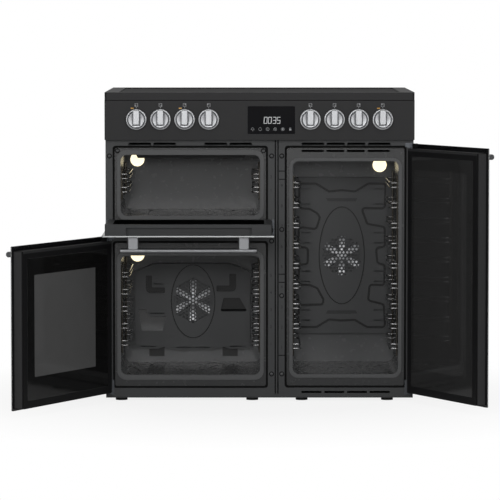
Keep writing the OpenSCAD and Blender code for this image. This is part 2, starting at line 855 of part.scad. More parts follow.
module fan_motors() {
    color("#6b6e72") placed() for (at = [main_fan_at, tall_fan_at]) difference() {
        rod_y(at[0], at[1], oven_d + liner_t, oven_d + liner_t + motor_len, motor_d / 2);
        rod_y(at[0], at[1], oven_d, oven_d + liner_t + motor_bore_len, shaft_r + pin_clear);
    }
}

// A serpentine under the grill oven's roof, behind the folded strip
element_drop = 14;
element_bend = 25;
element_front = 34;
element_back = 60;

module grill_element() {
    x0 = (left_oven_x0 + left_oven_x1) / 2 - 5 * element_bend;
    y0 = deflector_y + deflector_d + element_front;
    y1 = oven_d - element_back;
    color("#5a4a42") placed() translate([x0, 0, grill_z1 - element_drop]) {
        for (i = [0:5])
            rod_y(i * 2 * element_bend, 0, y0, i == 0 || i == 5 ? oven_d : y1, heater_r);
        for (i = [0, 2, 4]) translate([(2 * i + 1) * element_bend, y0, 0])
            rotate([0, 0, 180]) rotate_extrude(angle = 180, $fn = 48)
                translate([element_bend, 0]) circle(heater_r, $fn = 16);
        for (i = [1, 3]) translate([(2 * i + 1) * element_bend, y1, 0])
            rotate_extrude(angle = 180, $fn = 48) translate([element_bend, 0]) circle(heater_r, $fn = 16);
    }
}

// A folded strip under the grill oven's roof, whose face narrows downwards
deflector_y = 56;
deflector_d = 22;
deflector_h = 14.5;
deflector_t = 1.5;
deflector_lip = 8.5;
deflector_half = 163;
deflector_slope = 7;

module grill_deflector() {
    x = (left_oven_x0 + left_oven_x1) / 2 + 1;
    z = grill_z1;
    low_half = deflector_half - deflector_slope;
    color("#26272a") placed() {
        yz(x - deflector_half, x + deflector_half)
            rect([deflector_y, deflector_y + deflector_d, z - deflector_t, z]);
        xz(deflector_y, deflector_y + deflector_t) polygon([
            [x - deflector_half, z], [x + deflector_half, z], [x + low_half, z - deflector_h],
            [x - low_half, z - deflector_h]
        ]);
        yz(x - low_half, x + low_half) rect([deflector_y, deflector_y + deflector_lip,
            z - deflector_h, z - deflector_h + deflector_t]);
    }
}

// Lamp lenses on the back walls
main_lamp_at = [left_oven_x0 + 38.7, main_z1 - 28];
lamp_spots = [[main_lamp_at[0], grill_z1 - 33], main_lamp_at, [tall_oven_x1 - 43, tall_z1 - 32]];
lamp_dome_t = 3;
lamp_shoulder = 6;

module lamp_lenses() {
    color("#f4ecd2") placed() for (p = lamp_spots) {
        rod_y(p[0], p[1], oven_d - lamp_t, oven_d, lamp_r);
        rod_y(p[0], p[1], oven_d - lamp_t - lamp_dome_t, oven_d - lamp_t, lamp_r - lamp_shoulder);
    }
}

// A vent boss with a three-cornered port, on a small plate
vent_at = [58, 40];
vent_r = 13;
vent_port = 6.5;
vent_plate = [-23.6, 23.9, -17, 20];
vent_plate_t = 0.8;
vent_rise = 6;
vent_dish = 1.5;
vent_rim = 3;
vent_floor = 2;

module vent_fitting() {
    color("#4c4d50") placed() translate([tall_oven_x0 + vent_at[0], 0, tall_z1 - vent_at[1]]) {
        xz(oven_d - vent_plate_t, oven_d) rect(vent_plate);
        difference() {
            rod_y(0, 0, oven_d - vent_rise, oven_d - vent_plate_t, vent_r);
            rod_y(0, 0, oven_d - vent_rise - cut, oven_d - vent_rise + vent_dish, vent_r - vent_rim);
            xz(oven_d - vent_rise - cut, oven_d - vent_floor)
                polygon([[-vent_port, 0], [vent_port * 0.6, vent_port], [vent_port * 0.6, -vent_port]]);
        }
    }
}

// Shelf ladders

// A rung bent from one wire, standing out from a side wall at x 0
module rung(z) {
    leg = rung_out - rung_bend;
    translate([0, 0, z]) {
        for (y = [ladder_y0, ladder_y1])
            translate([0, y, 0]) rotate([0, 90, 0]) cylinder(r = wire_r, h = leg);
        rod_y(rung_out, 0, ladder_y0 + rung_bend, ladder_y1 - rung_bend, wire_r);
        translate([leg, ladder_y1 - rung_bend, 0])
            rotate_extrude(angle = 90) translate([rung_bend, 0]) circle(wire_r, $fn = 16);
        translate([leg, ladder_y0 + rung_bend, 0]) rotate([0, 0, -90])
            rotate_extrude(angle = 90) translate([rung_bend, 0]) circle(wire_r, $fn = 16);
    }
}

ladder_over = 22;
ladder_off = 2;
module ladder(levels) {
    low = levels[0] - ladder_over;
    high = levels[len(levels) - 1] + rung_gap + ladder_over;
    for (z = levels, up = [0, rung_gap]) rung(z + up);
    for (y = [ladder_y0, ladder_y1])
        translate([ladder_post_r + ladder_off, y, low]) cylinder(r = ladder_post_r, h = high - low);
}

module ladder_pair(x0, x1, levels) {
    color("#8d8f92") placed() {
        translate([x0, 0, 0]) ladder(levels);
        translate([x1, 0, 0]) mirror([1, 0, 0]) ladder(levels);
    }
}

grill_levels = [grill_z0 + 70, grill_z0 + 109];
main_levels = [for (k = [0:4]) main_z0 + 86 + k * main_rung_pitch];
tall_levels = [for (k = [0:8]) tall_z0 + 74.5 + k * tall_rung_pitch];

module grill_racks() { ladder_pair(left_oven_x0, left_oven_x1, grill_levels); }
module main_racks() { ladder_pair(left_oven_x0, left_oven_x1, main_levels); }
module tall_racks() { ladder_pair(tall_oven_x0, tall_oven_x1, tall_levels); }

// Hob and control panel

hob_box = [-overall_w / 2, overall_w / 2, panel_y, hob_y1];
hob_r = 8;
glass_z1 = overall_h - trim_up;
glass_z0 = glass_z1 - hob_glass_t;
ledge_z0 = glass_z0 - 3;
glass_cover = 10;
ledge_w = 10;

module hob_frame() {
    color("#2b2c2e") placed() {
        xy(panel_z1, ledge_z0) ring(hob_box, hob_r, grow(hob_box, -panel_t), hob_r - panel_t);
        xy(ledge_z0, glass_z0)
            ring(hob_box, hob_r, grow(hob_box, -trim_w - ledge_w), hob_r);
        xy(glass_z0, glass_z1)
            ring(hob_box, hob_r, grow(hob_box, glass_cover - trim_w), hob_r);
        xy(glass_z1, overall_h) ring(hob_box, hob_r, grow(hob_box, -trim_w), hob_r);
    }
}

module hob_glass() {
    color("#101114") placed() xy(glass_z0, glass_z1)
        round_rect(grow(hob_box, glass_cover - trim_w), hob_r);
}

// Cooking zones as [x, distance behind the hob's front edge, radius]
zone_spots = [[-300, 140, 72], [-300, 400, 90], [0, 270, 115], [300, 155, 90], [300, 400, 72]];
zone_wall = 6;
zone_d = 22;
zone_floor = 14;

module hob_elements() {
    color("#3a3a3c") placed() for (z = zone_spots)
        translate([z[0], panel_y + z[1], glass_z0 - zone_d]) difference() {
            cylinder(r = z[2] + zone_wall, h = zone_d, $fn = 64);
            translate([0, 0, zone_floor]) cylinder(r = z[2], h = zone_d, $fn = 64);
        }
}

module control_panel() {
    color("#2b2c2e") placed() difference() {
        union() {
            yz(-overall_w / 2, overall_w / 2) {
                rect([panel_y, panel_y + panel_t, panel_z0, panel_z1]);
                rect([panel_y, 0, panel_z0, panel_z0 + panel_t]);
            }
            for (x = [-overall_w / 2, overall_w / 2 - panel_t])
                yz(x, x + panel_t) rect([panel_y, 0, panel_z0, panel_z1]);
        }
        for (x = knob_xs) rod_y(x, knob_z, panel_y - 1, panel_y + panel_t + 1, 5);
        xz(panel_y - 1, panel_y + panel_t + 1) {
            round_rect(grow(window_box, fit_clear), 3);
            for (x = lens_xs) rect(lens_box(x, fit_clear / 2));
        }
    }
}

function lens_box(x, m) = [x - lens_w / 2 - m, x + lens_w / 2 + m,
    lens_z - lens_h / 2 - m, lens_z + lens_h / 2 + m];

module display_window() {
    color("#0c0d10") placed() xz(panel_y, panel_y + panel_t) round_rect(window_box, 3);
}

module timer_module() {
    color("#3c3f44") placed() xz(panel_y + panel_t, panel_y + panel_t + timer_d)
        rect(grow(window_box, timer_rim));
}

module indicator_lenses() {
    color("#f0a020") placed() for (x = lens_xs) {
        xz(panel_y - 0.6, panel_y + panel_t) rect(lens_box(x, 0));
        xz(panel_y + panel_t, panel_y + panel_t + 3) rect(lens_box(x, 2));
    }
}

knob_xs = [for (side = [-1, 1], k = [0:3]) side * knob_first_x + (side < 0 ? k - 3 : k) * knob_pitch];

module rotary_switches() {
    half = switch_size / 2;
    color("#3c3f44") placed() for (x = knob_xs) difference() {
        xz(panel_y + panel_t, panel_y + panel_t + switch_d)
            round_rect([x - half, x + half, knob_z - half, knob_z + half], 4);
        rod_y(x, knob_z, panel_y, panel_y + panel_t + switch_d - 6, shaft_r + pin_clear);
    }
}

// A turned knob with a grip bar across it, and the shaft behind it
module knob(n) {
    r = knob_d / 2;
    back = panel_y - knob_gap;
    color("#d6d8da") placed() translate([knob_xs[n - 1], back, knob_z]) {
        rotate([90, 0, 0]) rotate_extrude($fn = 96) polygon([
            [0, 0], [r - 1, 0], [r, 1], [r, 5], [r - 2.5, 9], [r * 0.79, 10],
            [r * 0.76, 9], [r * 0.73, 10], [r * 0.7, 16], [r * 0.67, 17], [0, 17]
        ]);
        xz(-knob_depth, -16) round_rect([-9.7, 9.7, -22, 22], 5);
        rod_y(0, 0, -1, knob_gap + panel_t + switch_d - 8, shaft_r);
    }
}

module knob_1() { knob(1); }
module knob_2() { knob(2); }
module knob_3() { knob(3); }
module knob_4() { knob(4); }
module knob_5() { knob(5); }
module knob_6() { knob(6); }
module knob_7() { knob(7); }
module knob_8() { knob(8); }

// Hinges

lug_t = 3;
lug_gap = 1;
pin_in = 10;
plate_t = 2.5;
plate_w = 24;
plate_low = 3;
plate_high = 40;
top_plate_high = 12;
lug_reach = 12;
boss_r = 4;

// One bracket of a side-hung door: a plate on the frame, a lug and a pin.
// dir is 1 where the pin points up and -1 where it points down.
module side_bracket(pivot, dir) {
    out = pivot[0] < 0 ? 1 : -1;
    edge = pivot[0] < 0 ? body_x0 : body_x1;
    plate = [min(edge, edge + out * plate_w), max(edge, edge + out * plate_w)];
    z0 = dir > 0 ? 0 : -lug_t;
    xy(z0, z0 + lug_t) {
        rect([min(pivot[0] - out * boss_r, pivot[0] + out * lug_reach),
            max(pivot[0] - out * boss_r, pivot[0] + out * lug_reach), pivot[1], -plate_t / 2]);
        translate(pivot) circle(boss_r);
    }
    xz(-plate_t, 0)
        rect([plate[0], plate[1], dir > 0 ? -plate_low : 0, dir > 0 ? plate_high : top_plate_high]);
    translate([pivot[0], pivot[1], dir > 0 ? 0 : -lug_t - pin_in]) cylinder(r = pin_r, h = lug_t + pin_in);
}

grill_arm_r = 5;
grill_plate = [-12, 22];
module grill_bracket(x0, dir) {
    yz(x0, x0 + lug_t) {
        rect([grill_pivot_y, 0, grill_pivot_z - grill_arm_r, grill_pivot_z + grill_arm_r]);
        translate([grill_pivot_y, grill_pivot_z]) circle(grill_arm_r);
    }
    xz(-plate_t, 0) rect([dir > 0 ? body_x0 : x0, dir > 0 ? x0 + lug_t : main_door[1],
        grill_pivot_z + grill_plate[0], grill_pivot_z + grill_plate[1]]);
    pin_x = dir > 0 ? x0 : x0 - pin_in;
    translate([pin_x, grill_pivot_y, grill_pivot_z])
        rotate([0, 90, 0]) cylinder(r = pin_r, h = lug_t + pin_in);
}

main_frame_box = door_inset(main_door, hinge_inset, free_inset, door_under, top_inset);
tall_frame_box = door_inset(tall_door, free_inset, hinge_inset, door_under, top_inset);
grill_frame_box = door_inset(grill_door, free_inset, free_inset, grill_low_inset, top_inset);
function door_inset(b, left, right, low, high) = [b[0] + left, b[1] - right, b[2] + low, b[3] - high];

module hinge_brackets() {
    low_z = main_frame_box[2] - lug_gap - lug_t;
    color("#6a6c70") placed() {
        for (p = [main_pivot, tall_pivot]) translate([0, 0, low_z]) side_bracket(p, 1);
        translate([0, 0, main_frame_box[3] + lug_gap + lug_t]) side_bracket(main_pivot, -1);
        translate([0, 0, tall_frame_box[3] + lug_gap + lug_t]) side_bracket(tall_pivot, -1);
        grill_bracket(grill_frame_box[0] - lug_gap - lug_t, 1);
        grill_bracket(grill_frame_box[1] + lug_gap, -1);
    }
}

// Doors, drawn closed and then swung open

module main_opened() {
    translate(main_pivot) rotate([0, 0, -main_open]) translate(-main_pivot) children();
}

module tall_opened() {
    translate(tall_pivot) rotate([0, 0, tall_open]) translate(-tall_pivot) children();
}

module grill_opened() {
    translate([0, grill_pivot_y, grill_pivot_z]) rotate([90, 0, 0])
        translate([0, -grill_pivot_y, -grill_pivot_z]) children();
}

// The border of a door with a rebate for the inner glass
door_r = 4;
view_r = 10;
glass_lap = 6;
module door_ring(b) {
    view = grow(b, -door_border);
    xz(glass_y1, door_y1 - inner_glass_t) ring(b, door_r, view, view_r);
    xz(door_y1 - inner_glass_t, door_y1) ring(b, door_r, grow(view, glass_lap), view_r);
}

module inner_pane(b) {
    xz(door_y1 - inner_glass_t, door_y1) round_rect(grow(b, glass_lap - door_border), view_r);
}

pane_r = 3;
module outer_pane(b) { xz(glass_y0, glass_y1) round_rect(b, pane_r); }

// A tube on two posts, with a thicker sleeve at each end
post_w = 30;
post_h = 12;
post_corner_r = 5;
module handle(b) {
    x0 = b[0] + handle_inset;
    x1 = b[1] - handle_inset;
    z = b[3] - handle_drop;
    translate([0, handle_y, z]) {
        for (s = [[x0, sleeve_len, sleeve_d], [x1 - sleeve_len, sleeve_len, sleeve_d],
                [x0 + 1, x1 - x0 - 2, handle_d]])
            translate([s[0], 0, 0]) rotate([0, 90, 0]) cylinder(d = s[2], h = s[1]);
    }
    for (x = [x0 + sleeve_len / 2, x1 - sleeve_len / 2])
        xz(handle_y, glass_y0)
            round_rect([x - post_w / 2, x + post_w / 2, z - post_h / 2, z + post_h / 2], post_corner_r);
}

module side_bores(b, pivot) {
    for (z = [b[2] - 1, b[3] - pin_in - 1])
        translate([pivot[0], pivot[1], z]) cylinder(r = pin_r + pin_clear, h = pin_in + 2);
}

// Latch holes in the free edge of a side-hung door
latch_d = 3;
latch_in = 5;
latch_y = door_y1 - 3;
main_latch_zs = [242, 278, 309];
tall_latch_zs = [374, 410, 443];
module latch_bores(edge, zs) {
    for (z = zs) translate([edge - latch_in, latch_y, z]) rotate([0, 90, 0])
        cylinder(d = latch_d, h = 2 * latch_in);
}

module main_door_frame() {
    color("#26272a") placed() main_opened() difference() {
        door_ring(main_frame_box);
        side_bores(main_frame_box, main_pivot);
        latch_bores(main_frame_box[1], main_latch_zs);
    }
}

module main_door_inner_glass() {
    color("#2f3033") placed() main_opened() inner_pane(main_frame_box);
}

module main_door_outer_glass() {
    color("#141518") placed() main_opened() outer_pane(main_door);
}

module main_door_handle() { color("#c4c6c8") placed() main_opened() handle(main_door); }

module tall_door_frame() {
    color("#26272a") placed() tall_opened() difference() {
        door_ring(tall_frame_box);
        side_bores(tall_frame_box, tall_pivot);
        latch_bores(tall_frame_box[0], tall_latch_zs);
    }
}

module tall_door_inner_glass() {
    color("#2f3033") placed() tall_opened() inner_pane(tall_frame_box);
}

module tall_door_outer_glass() {
    color("#141518") placed() tall_opened() outer_pane(tall_door);
}

module tall_door_handle() { color("#c4c6c8") placed() tall_opened() handle(tall_door); }

// The air outlet in the top edge of the grill door
outlet_side = [60, 57];
outlet_d = 16;
outlet_back = 9.5;

module grill_door_frame() {
    b = grill_frame_box;
    color("#26272a") placed() grill_opened() difference() {
        door_ring(b);
        xy(b[3] - outlet_d, b[3] + cut) rect([b[0] + outlet_side[0], b[1] - outlet_side[1], glass_y1 - cut,
            door_y1 - outlet_back]);
        for (x = [b[0] - 1, b[1] - pin_in - 1])
            translate([x, grill_pivot_y, grill_pivot_z])
                rotate([0, 90, 0]) cylinder(r = pin_r + pin_clear, h = pin_in + 2);
    }
}

module grill_door_inner_glass() {
    color("#2f3033") placed() grill_opened() inner_pane(grill_frame_box);
}

module grill_door_outer_glass() {
    color("#141518") placed() grill_opened() outer_pane(grill_door);
}

module grill_door_handle() { color("#c4c6c8") placed() grill_opened() handle(grill_door); }

base_tray();
levelling_feet();
side_panel_left();
side_panel_right();
rear_panel();
terminal_box();
cable_grommet();
front_frame_left();
front_frame_right();
centre_strip();
grill_cavity();
main_cavity();
tall_cavity();
grill_seal();
main_seal();
tall_seal();
main_fan_cover();
tall_fan_cover();
main_fan();
tall_fan();
fan_elements();
fan_motors();
grill_element();
grill_deflector();
lamp_lenses();
grill_racks();
main_racks();
tall_racks();
vent_fitting();
hob_frame();
hob_glass();
hob_elements();
control_panel();
display_window();
timer_module();
indicator_lenses();
rotary_switches();
knob_1();
knob_2();
knob_3();
knob_4();
knob_5();
knob_6();
knob_7();
knob_8();
hinge_brackets();
grill_door_frame();
grill_door_inner_glass();
grill_door_outer_glass();
grill_door_handle();
main_door_frame();
main_door_inner_glass();
main_door_outer_glass();
main_door_handle();
tall_door_frame();
tall_door_inner_glass();
tall_door_outer_glass();
tall_door_handle();
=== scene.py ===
import json
import math
import bmesh
import bpy
import numpy as np
from mathutils import Matrix, Vector


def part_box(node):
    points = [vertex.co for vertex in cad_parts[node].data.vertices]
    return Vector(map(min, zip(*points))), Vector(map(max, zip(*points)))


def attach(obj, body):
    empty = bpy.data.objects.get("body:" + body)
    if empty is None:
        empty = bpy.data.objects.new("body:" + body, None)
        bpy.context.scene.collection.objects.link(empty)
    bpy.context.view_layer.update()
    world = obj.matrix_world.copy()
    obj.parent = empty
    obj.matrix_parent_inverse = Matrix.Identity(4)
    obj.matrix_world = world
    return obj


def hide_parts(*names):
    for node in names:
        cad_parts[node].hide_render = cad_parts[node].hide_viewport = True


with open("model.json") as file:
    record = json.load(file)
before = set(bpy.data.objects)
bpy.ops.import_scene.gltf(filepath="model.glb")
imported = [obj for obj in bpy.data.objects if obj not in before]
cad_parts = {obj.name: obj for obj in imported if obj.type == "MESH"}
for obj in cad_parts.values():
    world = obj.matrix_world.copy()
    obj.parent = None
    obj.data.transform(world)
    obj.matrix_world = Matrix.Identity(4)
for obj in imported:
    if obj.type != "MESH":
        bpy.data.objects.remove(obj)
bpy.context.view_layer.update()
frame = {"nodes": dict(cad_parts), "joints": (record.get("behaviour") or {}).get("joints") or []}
nodes = frame["nodes"]
mm = 0.001

# Where the cooker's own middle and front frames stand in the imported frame, in metres
hobLow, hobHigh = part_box("hob_frame")
middleX = (hobLow[0] + hobHigh[0]) / 2
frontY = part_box("front_frame_left")[0][1]


def spot(x, y, z):
    # millimetres right of the middle, behind the front frames and above the floor
    return Vector((middleX + x * mm, frontY + y * mm, z * mm))


def linear(hexColour):
    # sRGB hex to linear RGBA
    parts = [int(hexColour[i:i + 2], 16) / 255 for i in (0, 2, 4)]
    curve = [c / 12.92 if c <= 0.04045 else ((c + 0.055) / 1.055) ** 2.4 for c in parts]
    return (*curve, 1.0)


def addNode(tree, kind, settings={}, links={}):
    # one node with its settings, and the sockets that feed it
    node = tree.nodes.new(kind)
    for key, value in settings.items():
        if isinstance(key, str) and hasattr(node, key):
            setattr(node, key, value)
        else:
            node.inputs[key].default_value = value
    for key, socket in links.items():
        tree.links.new(socket, node.inputs[key])
    return node


def newMaterial(name):
    material = bpy.data.materials.new(name)
    material.use_nodes = True
    material.node_tree.nodes.clear()
    return material, material.node_tree


def closeMaterial(tree, shader):
    addNode(tree, "ShaderNodeOutputMaterial", {}, {"Surface": shader})


# Camera

cameraLook = {"lens": 247.2, "down": 3.979, "x": -27.7, "y": -10001.0, "z": 1139.0}


def makeCamera(look):
    data = bpy.data.cameras.new("camera")
    data.lens = look["lens"]
    data.sensor_width = 36
    data.clip_end = 60
    camera = bpy.data.objects.new("camera", data)
    camera.location = spot(look["x"], look["y"], look["z"])
    camera.rotation_euler = (math.radians(90 - look["down"]), 0, 0)
    bpy.context.collection.objects.link(camera)
    bpy.context.scene.camera = camera


makeCamera(cameraLook)
print("camera ready")


# Light and stage

lightLook = {
    "front": {"at": (-300, -6500, 1900), "size": 1.6, "power": 102},
    "left": {"at": (-2700, -4700, 1400), "size": 1.8, "power": 48},
    "right": {"at": (2500, -4900, 1300), "size": 1.8, "power": 52},
    "high": {"at": (200, -1900, 3400), "size": 2.4, "power": 22},
}
worldLook = {"front": 0.14, "behind": 0.6, "turn": (-0.1, 0.5), "spread": 0.16, "band": 0.7,
             "bandHeight": 0.22, "bandTurn": (-0.3, -0.9)}
floorLook = {"half": 7.0, "fade": (0.4, 1.2), "least": 0.84, "grain": 40.0, "tint": 0.96, "bounce": 0.7}


def makeLights(look):
    aim = spot(0, 0, 450)
    for name, card in look.items():
        data = bpy.data.lights.new(name, "AREA")
        data.shape = "SQUARE"
        data.size = card["size"]
        data.energy = card["power"]
        light = bpy.data.objects.new(name, data)
        light.location = spot(*card["at"])
        light.rotation_euler = (aim - light.location).to_track_quat("-Z", "Y").to_euler()
        bpy.context.collection.objects.link(light)


def rangeOf(tree, value, fromPair=(0.0, 1.0), toPair=(0.0, 1.0)):
    # a socket mapped straight from one pair of numbers to another, and held between them
    settings = {"From Min": fromPair[0], "From Max": fromPair[1],
                "To Min": toPair[0], "To Max": toPair[1]}
    return addNode(tree, "ShaderNodeMapRange", settings, {"Value": value}).outputs["Result"]


def seenStraight(tree, path):
    # 1 for what the camera sees by itself or through clear glass, 0 for the light that falls on things
    return addNode(tree, "ShaderNodeMath", {"operation": "MAXIMUM"},
                   {0: path.outputs["Is Camera Ray"], 1: path.outputs["Is Transmission Ray"]}).outputs[0]


def makeWorld(look):
    # white where it is seen or looked through, grey where it lights, and a studio where it is mirrored
    world = bpy.data.worlds.new("studio")
    bpy.context.scene.world = world
    world.use_nodes = True
    tree = world.node_tree
    tree.nodes.clear()
    way = addNode(tree, "ShaderNodeTexCoord")
    parts = addNode(tree, "ShaderNodeSeparateXYZ", {}, {0: way.outputs["Generated"]})
    back = rangeOf(tree, parts.outputs["Y"], look["turn"], (look["front"], look["behind"]))
    # a softbox band in front, which fades with the height of the way up or down from level
    level = addNode(tree, "ShaderNodeMath", {"operation": "ABSOLUTE"}, {0: parts.outputs["Z"]})
    near = rangeOf(tree, level.outputs[0], (0.0, look["bandHeight"]), (look["band"], 0.0))
    ahead = rangeOf(tree, parts.outputs["Y"], look["bandTurn"])
    mirrored = addNode(tree, "ShaderNodeMath", {"operation": "MULTIPLY_ADD"},
                       {0: near, 1: ahead, 2: back})
    path = addNode(tree, "ShaderNodeLightPath")
    shown = addNode(tree, "ShaderNodeMix", {"data_type": "FLOAT", 2: look["spread"]},
                    {0: path.outputs["Is Glossy Ray"], 3: mirrored.outputs[0]})
    power = addNode(tree, "ShaderNodeMix", {"data_type": "FLOAT", 3: 1.0},
                    {0: seenStraight(tree, path), 2: shown.outputs[0]})
    sky = addNode(tree, "ShaderNodeBackground", {"Color": (1, 1, 1, 1)}, {"Strength": power.outputs[0]})
    addNode(tree, "ShaderNodeOutputWorld", {}, {"Surface": sky.outputs[0]})


def makeFloor(look):
    # a matt white floor near the cooker, which fades into the white backdrop
    half, tint, bounce = look["half"], look["tint"], look["bounce"]
    mesh = bpy.data.meshes.new("floor")
    mesh.from_pydata([(-half, -half, 0), (half, -half, 0), (half, half, 0), (-half, half, 0)], [],
                     [(0, 1, 2, 3)])
    floor = bpy.data.objects.new("floor", mesh)
    bpy.context.collection.objects.link(floor)
    material, tree = newMaterial("paintedStudioFloor")
    where = addNode(tree, "ShaderNodeTexCoord").outputs["Object"]
    away = addNode(tree, "ShaderNodeVectorMath", {"operation": "LENGTH"}, {0: where})
    fade = rangeOf(tree, away.outputs["Value"], look["fade"], (look["least"], 1.0))
    seen = seenStraight(tree, addNode(tree, "ShaderNodeLightPath"))
    shown = addNode(tree, "ShaderNodeMath", {"operation": "MULTIPLY"}, {0: seen, 1: fade})
    grain = addNode(tree, "ShaderNodeTexNoise", {"Scale": look["grain"]}, {"Vector": where})
    white = addNode(tree, "ShaderNodeMix",
                    {"data_type": "RGBA", 6: (tint, tint, tint, 1), 7: (1, 1, 1, 1)},
                    {0: grain.outputs[0]})
    # the light that it throws back up is held lower than what the camera sees of it
    coat = addNode(tree, "ShaderNodeMix", {"data_type": "RGBA", 6: (bounce, bounce, bounce, 1)},
                   {0: seen, 7: white.outputs[2]})
    paint = addNode(tree, "ShaderNodeBsdfDiffuse", {}, {"Color": coat.outputs[2]})
    glow = addNode(tree, "ShaderNodeEmission", {"Color": (1, 1, 1, 1), "Strength": 1.0})
    mixed = addNode(tree, "ShaderNodeMixShader", {},
                    {0: shown.outputs[0], 1: paint.outputs[0], 2: glow.outputs[0]})
    closeMaterial(tree, mixed.outputs[0])
    mesh.materials.append(material)


makeWorld(worldLook)
makeLights(lightLook)
makeFloor(floorLook)
bpy.context.scene.view_settings.view_transform = "Standard"
print("studio ready")


# Materials


def toneOf(tree, share, look, low="dark", high="light"):
    # the look's two tones mixed by a socket
    settings = {"data_type": "RGBA", 6: linear(look[low]), 7: linear(look[high])}
    return addNode(tree, "ShaderNodeMix", settings, {0: share}).outputs[2]


def noiseOf(tree, where, scale, detail, distortion=0.0):
    # clouds of about one over scale metres
    settings = {"Scale": scale, "Detail": detail, "Distortion": distortion}
    return addNode(tree, "ShaderNodeTexNoise", settings, {"Vector": where}).outputs[0]


def roughnessOf(tree, share, look, spread):
    # the look's roughness, a spread more or less by a socket
    return rangeOf(tree, share, toPair=(look["rough"] - spread, look["rough"] + spread))


def bumpOf(tree, height, strength, distance):
    # a skin raised by a socket, by the distance in metres at full strength
    return addNode(tree, "ShaderNodeBump", {"Strength": strength, "Distance": distance},
                   {"Height": height}).outputs[0]


def closePrincipled(tree, settings, links):
    shader = addNode(tree, "ShaderNodeBsdfPrincipled", settings, links)
    closeMaterial(tree, shader.outputs[0])


def coatedSteel(name, look):
    # sheet steel with a baked coat: an even satin tone over a faint orange peel
    material, tree = newMaterial(name)
    where = addNode(tree, "ShaderNodeTexCoord").outputs["Object"]
    peel = noiseOf(tree, where, 1000 / look["peelMm"], 2.0)
    cloud = noiseOf(tree, where, 9.0, 3.0)
    closePrincipled(tree, {"Specular IOR Level": look["specular"]},
                    {"Base Color": toneOf(tree, cloud, look),
                     "Roughness": roughnessOf(tree, peel, look, 0.04),
                     "Normal": bumpOf(tree, peel, look["bump"], 0.0001)})
    return material


def vitreousEnamel(name, look):
    # glass fused on steel: a satin grey with faint flecks and a slight ripple. The tone is multiplied by
    # grey levels at depths behind the front frames: painted shade, darkest in grooves and lightest on
    # back walls
    material, tree = newMaterial(name)
    where = addNode(tree, "ShaderNodeTexCoord").outputs["Object"]
    fleck = addNode(tree, "ShaderNodeTexVoronoi", {"Scale": 1000 / look["fleckMm"], "Randomness": 1.0},
                    {"Vector": where})
    pick = rangeOf(tree, fleck.outputs["Distance"], (0.10, 0.22), (1.0, 0.0))
    ripple = noiseOf(tree, where, 60.0, 2.0)
    parts = addNode(tree, "ShaderNodeSeparateXYZ", {}, {0: where})
    firstMm, lastMm = look["levels"][0][0], look["levels"][-1][0]
    depth = rangeOf(tree, parts.outputs["Y"], (frontY + firstMm * mm, frontY + lastMm * mm))
    ramp = addNode(tree, "ShaderNodeValToRGB", {}, {0: depth})
    stops = ramp.color_ramp.elements
    for depthMm, level in look["levels"][1:-1]:
        stops.new((depthMm - firstMm) / (lastMm - firstMm))
    for stop, (depthMm, level) in zip(stops, look["levels"]):
        stop.color = (level, level, level, 1.0)
    shade = addNode(tree, "ShaderNodeMix", {"data_type": "RGBA", "blend_type": "MULTIPLY", 0: 1.0},
                    {6: toneOf(tree, pick, look, "ground", "fleck"), 7: ramp.outputs["Color"]})
    closePrincipled(tree, {"Specular IOR Level": look["specular"]},
                    {"Base Color": shade.outputs[2], "Roughness": roughnessOf(tree, ripple, look, 0.05),
                     "Normal": bumpOf(tree, ripple, 0.05, 0.0003)})
    return material


def rubbedMetal(name, look):
    # bare metal rubbed to a satin: a fine grain in its tone, its shine and its skin
    material, tree = newMaterial(name)
    where = addNode(tree, "ShaderNodeTexCoord").outputs["Object"]
    grain = noiseOf(tree, where, 1000 / look["grainMm"], 3.0)
    closePrincipled(tree, {"Metallic": 1.0},
                    {"Base Color": toneOf(tree, grain, look),
                     "Roughness": roughnessOf(tree, grain, look, 0.08),
                     "Normal": bumpOf(tree, grain, 0.15, 0.00005)})
    return material


def rackWirePaintedLight(name, look):
    # chromed wire with painted light: its tone goes from dark on upright faces, a painted shade, to light
    # on faces turned up or down, a painted highlight
    material, tree = newMaterial(name)
    where = addNode(tree, "ShaderNodeTexCoord").outputs["Object"]
    haze = noiseOf(tree, where, 1000 / look["grainMm"], 2.0)
    face = addNode(tree, "ShaderNodeNewGeometry")
    parts = addNode(tree, "ShaderNodeSeparateXYZ", {}, {0: face.outputs["Normal"]})
    level = addNode(tree, "ShaderNodeMath", {"operation": "ABSOLUTE"}, {0: parts.outputs["Z"]})
    share = rangeOf(tree, level.outputs[0], (0.05, 0.45))
    closePrincipled(tree, {"Metallic": 1.0},
                    {"Base Color": toneOf(tree, share, look),
                     "Roughness": roughnessOf(tree, haze, look, 0.05)})
    return material


def darkGlass(name, look):
    # toughened glass printed or smoked behind: a deep mirror with faint smears
    material, tree = newMaterial(name)
    where = addNode(tree, "ShaderNodeTexCoord").outputs["Object"]
    smear = noiseOf(tree, where, 14.0, 4.0, 0.6)
    closePrincipled(tree, {"IOR": look.get("ior", 1.5), "Specular IOR Level": look["specular"]},
                    {"Base Color": toneOf(tree, smear, look),
                     "Roughness": rangeOf(tree, smear, toPair=(look["rough"], look["rough"] + 0.05))})
    return material


def mouldedPlastic(name, look):
    # moulded plastic, rubber, ink or painted shadow: matt, with a fine spark-eroded grain
    material, tree = newMaterial(name)
    where = addNode(tree, "ShaderNodeTexCoord").outputs["Object"]
    grain = noiseOf(tree, where, 1000 / look["grainMm"], 3.0)
    closePrincipled(tree, {"Roughness": look["rough"], "Specular IOR Level": look["specular"]},
                    {"Base Color": toneOf(tree, grain, look), "Normal": bumpOf(tree, grain, 0.3, 0.0001)})
    return material


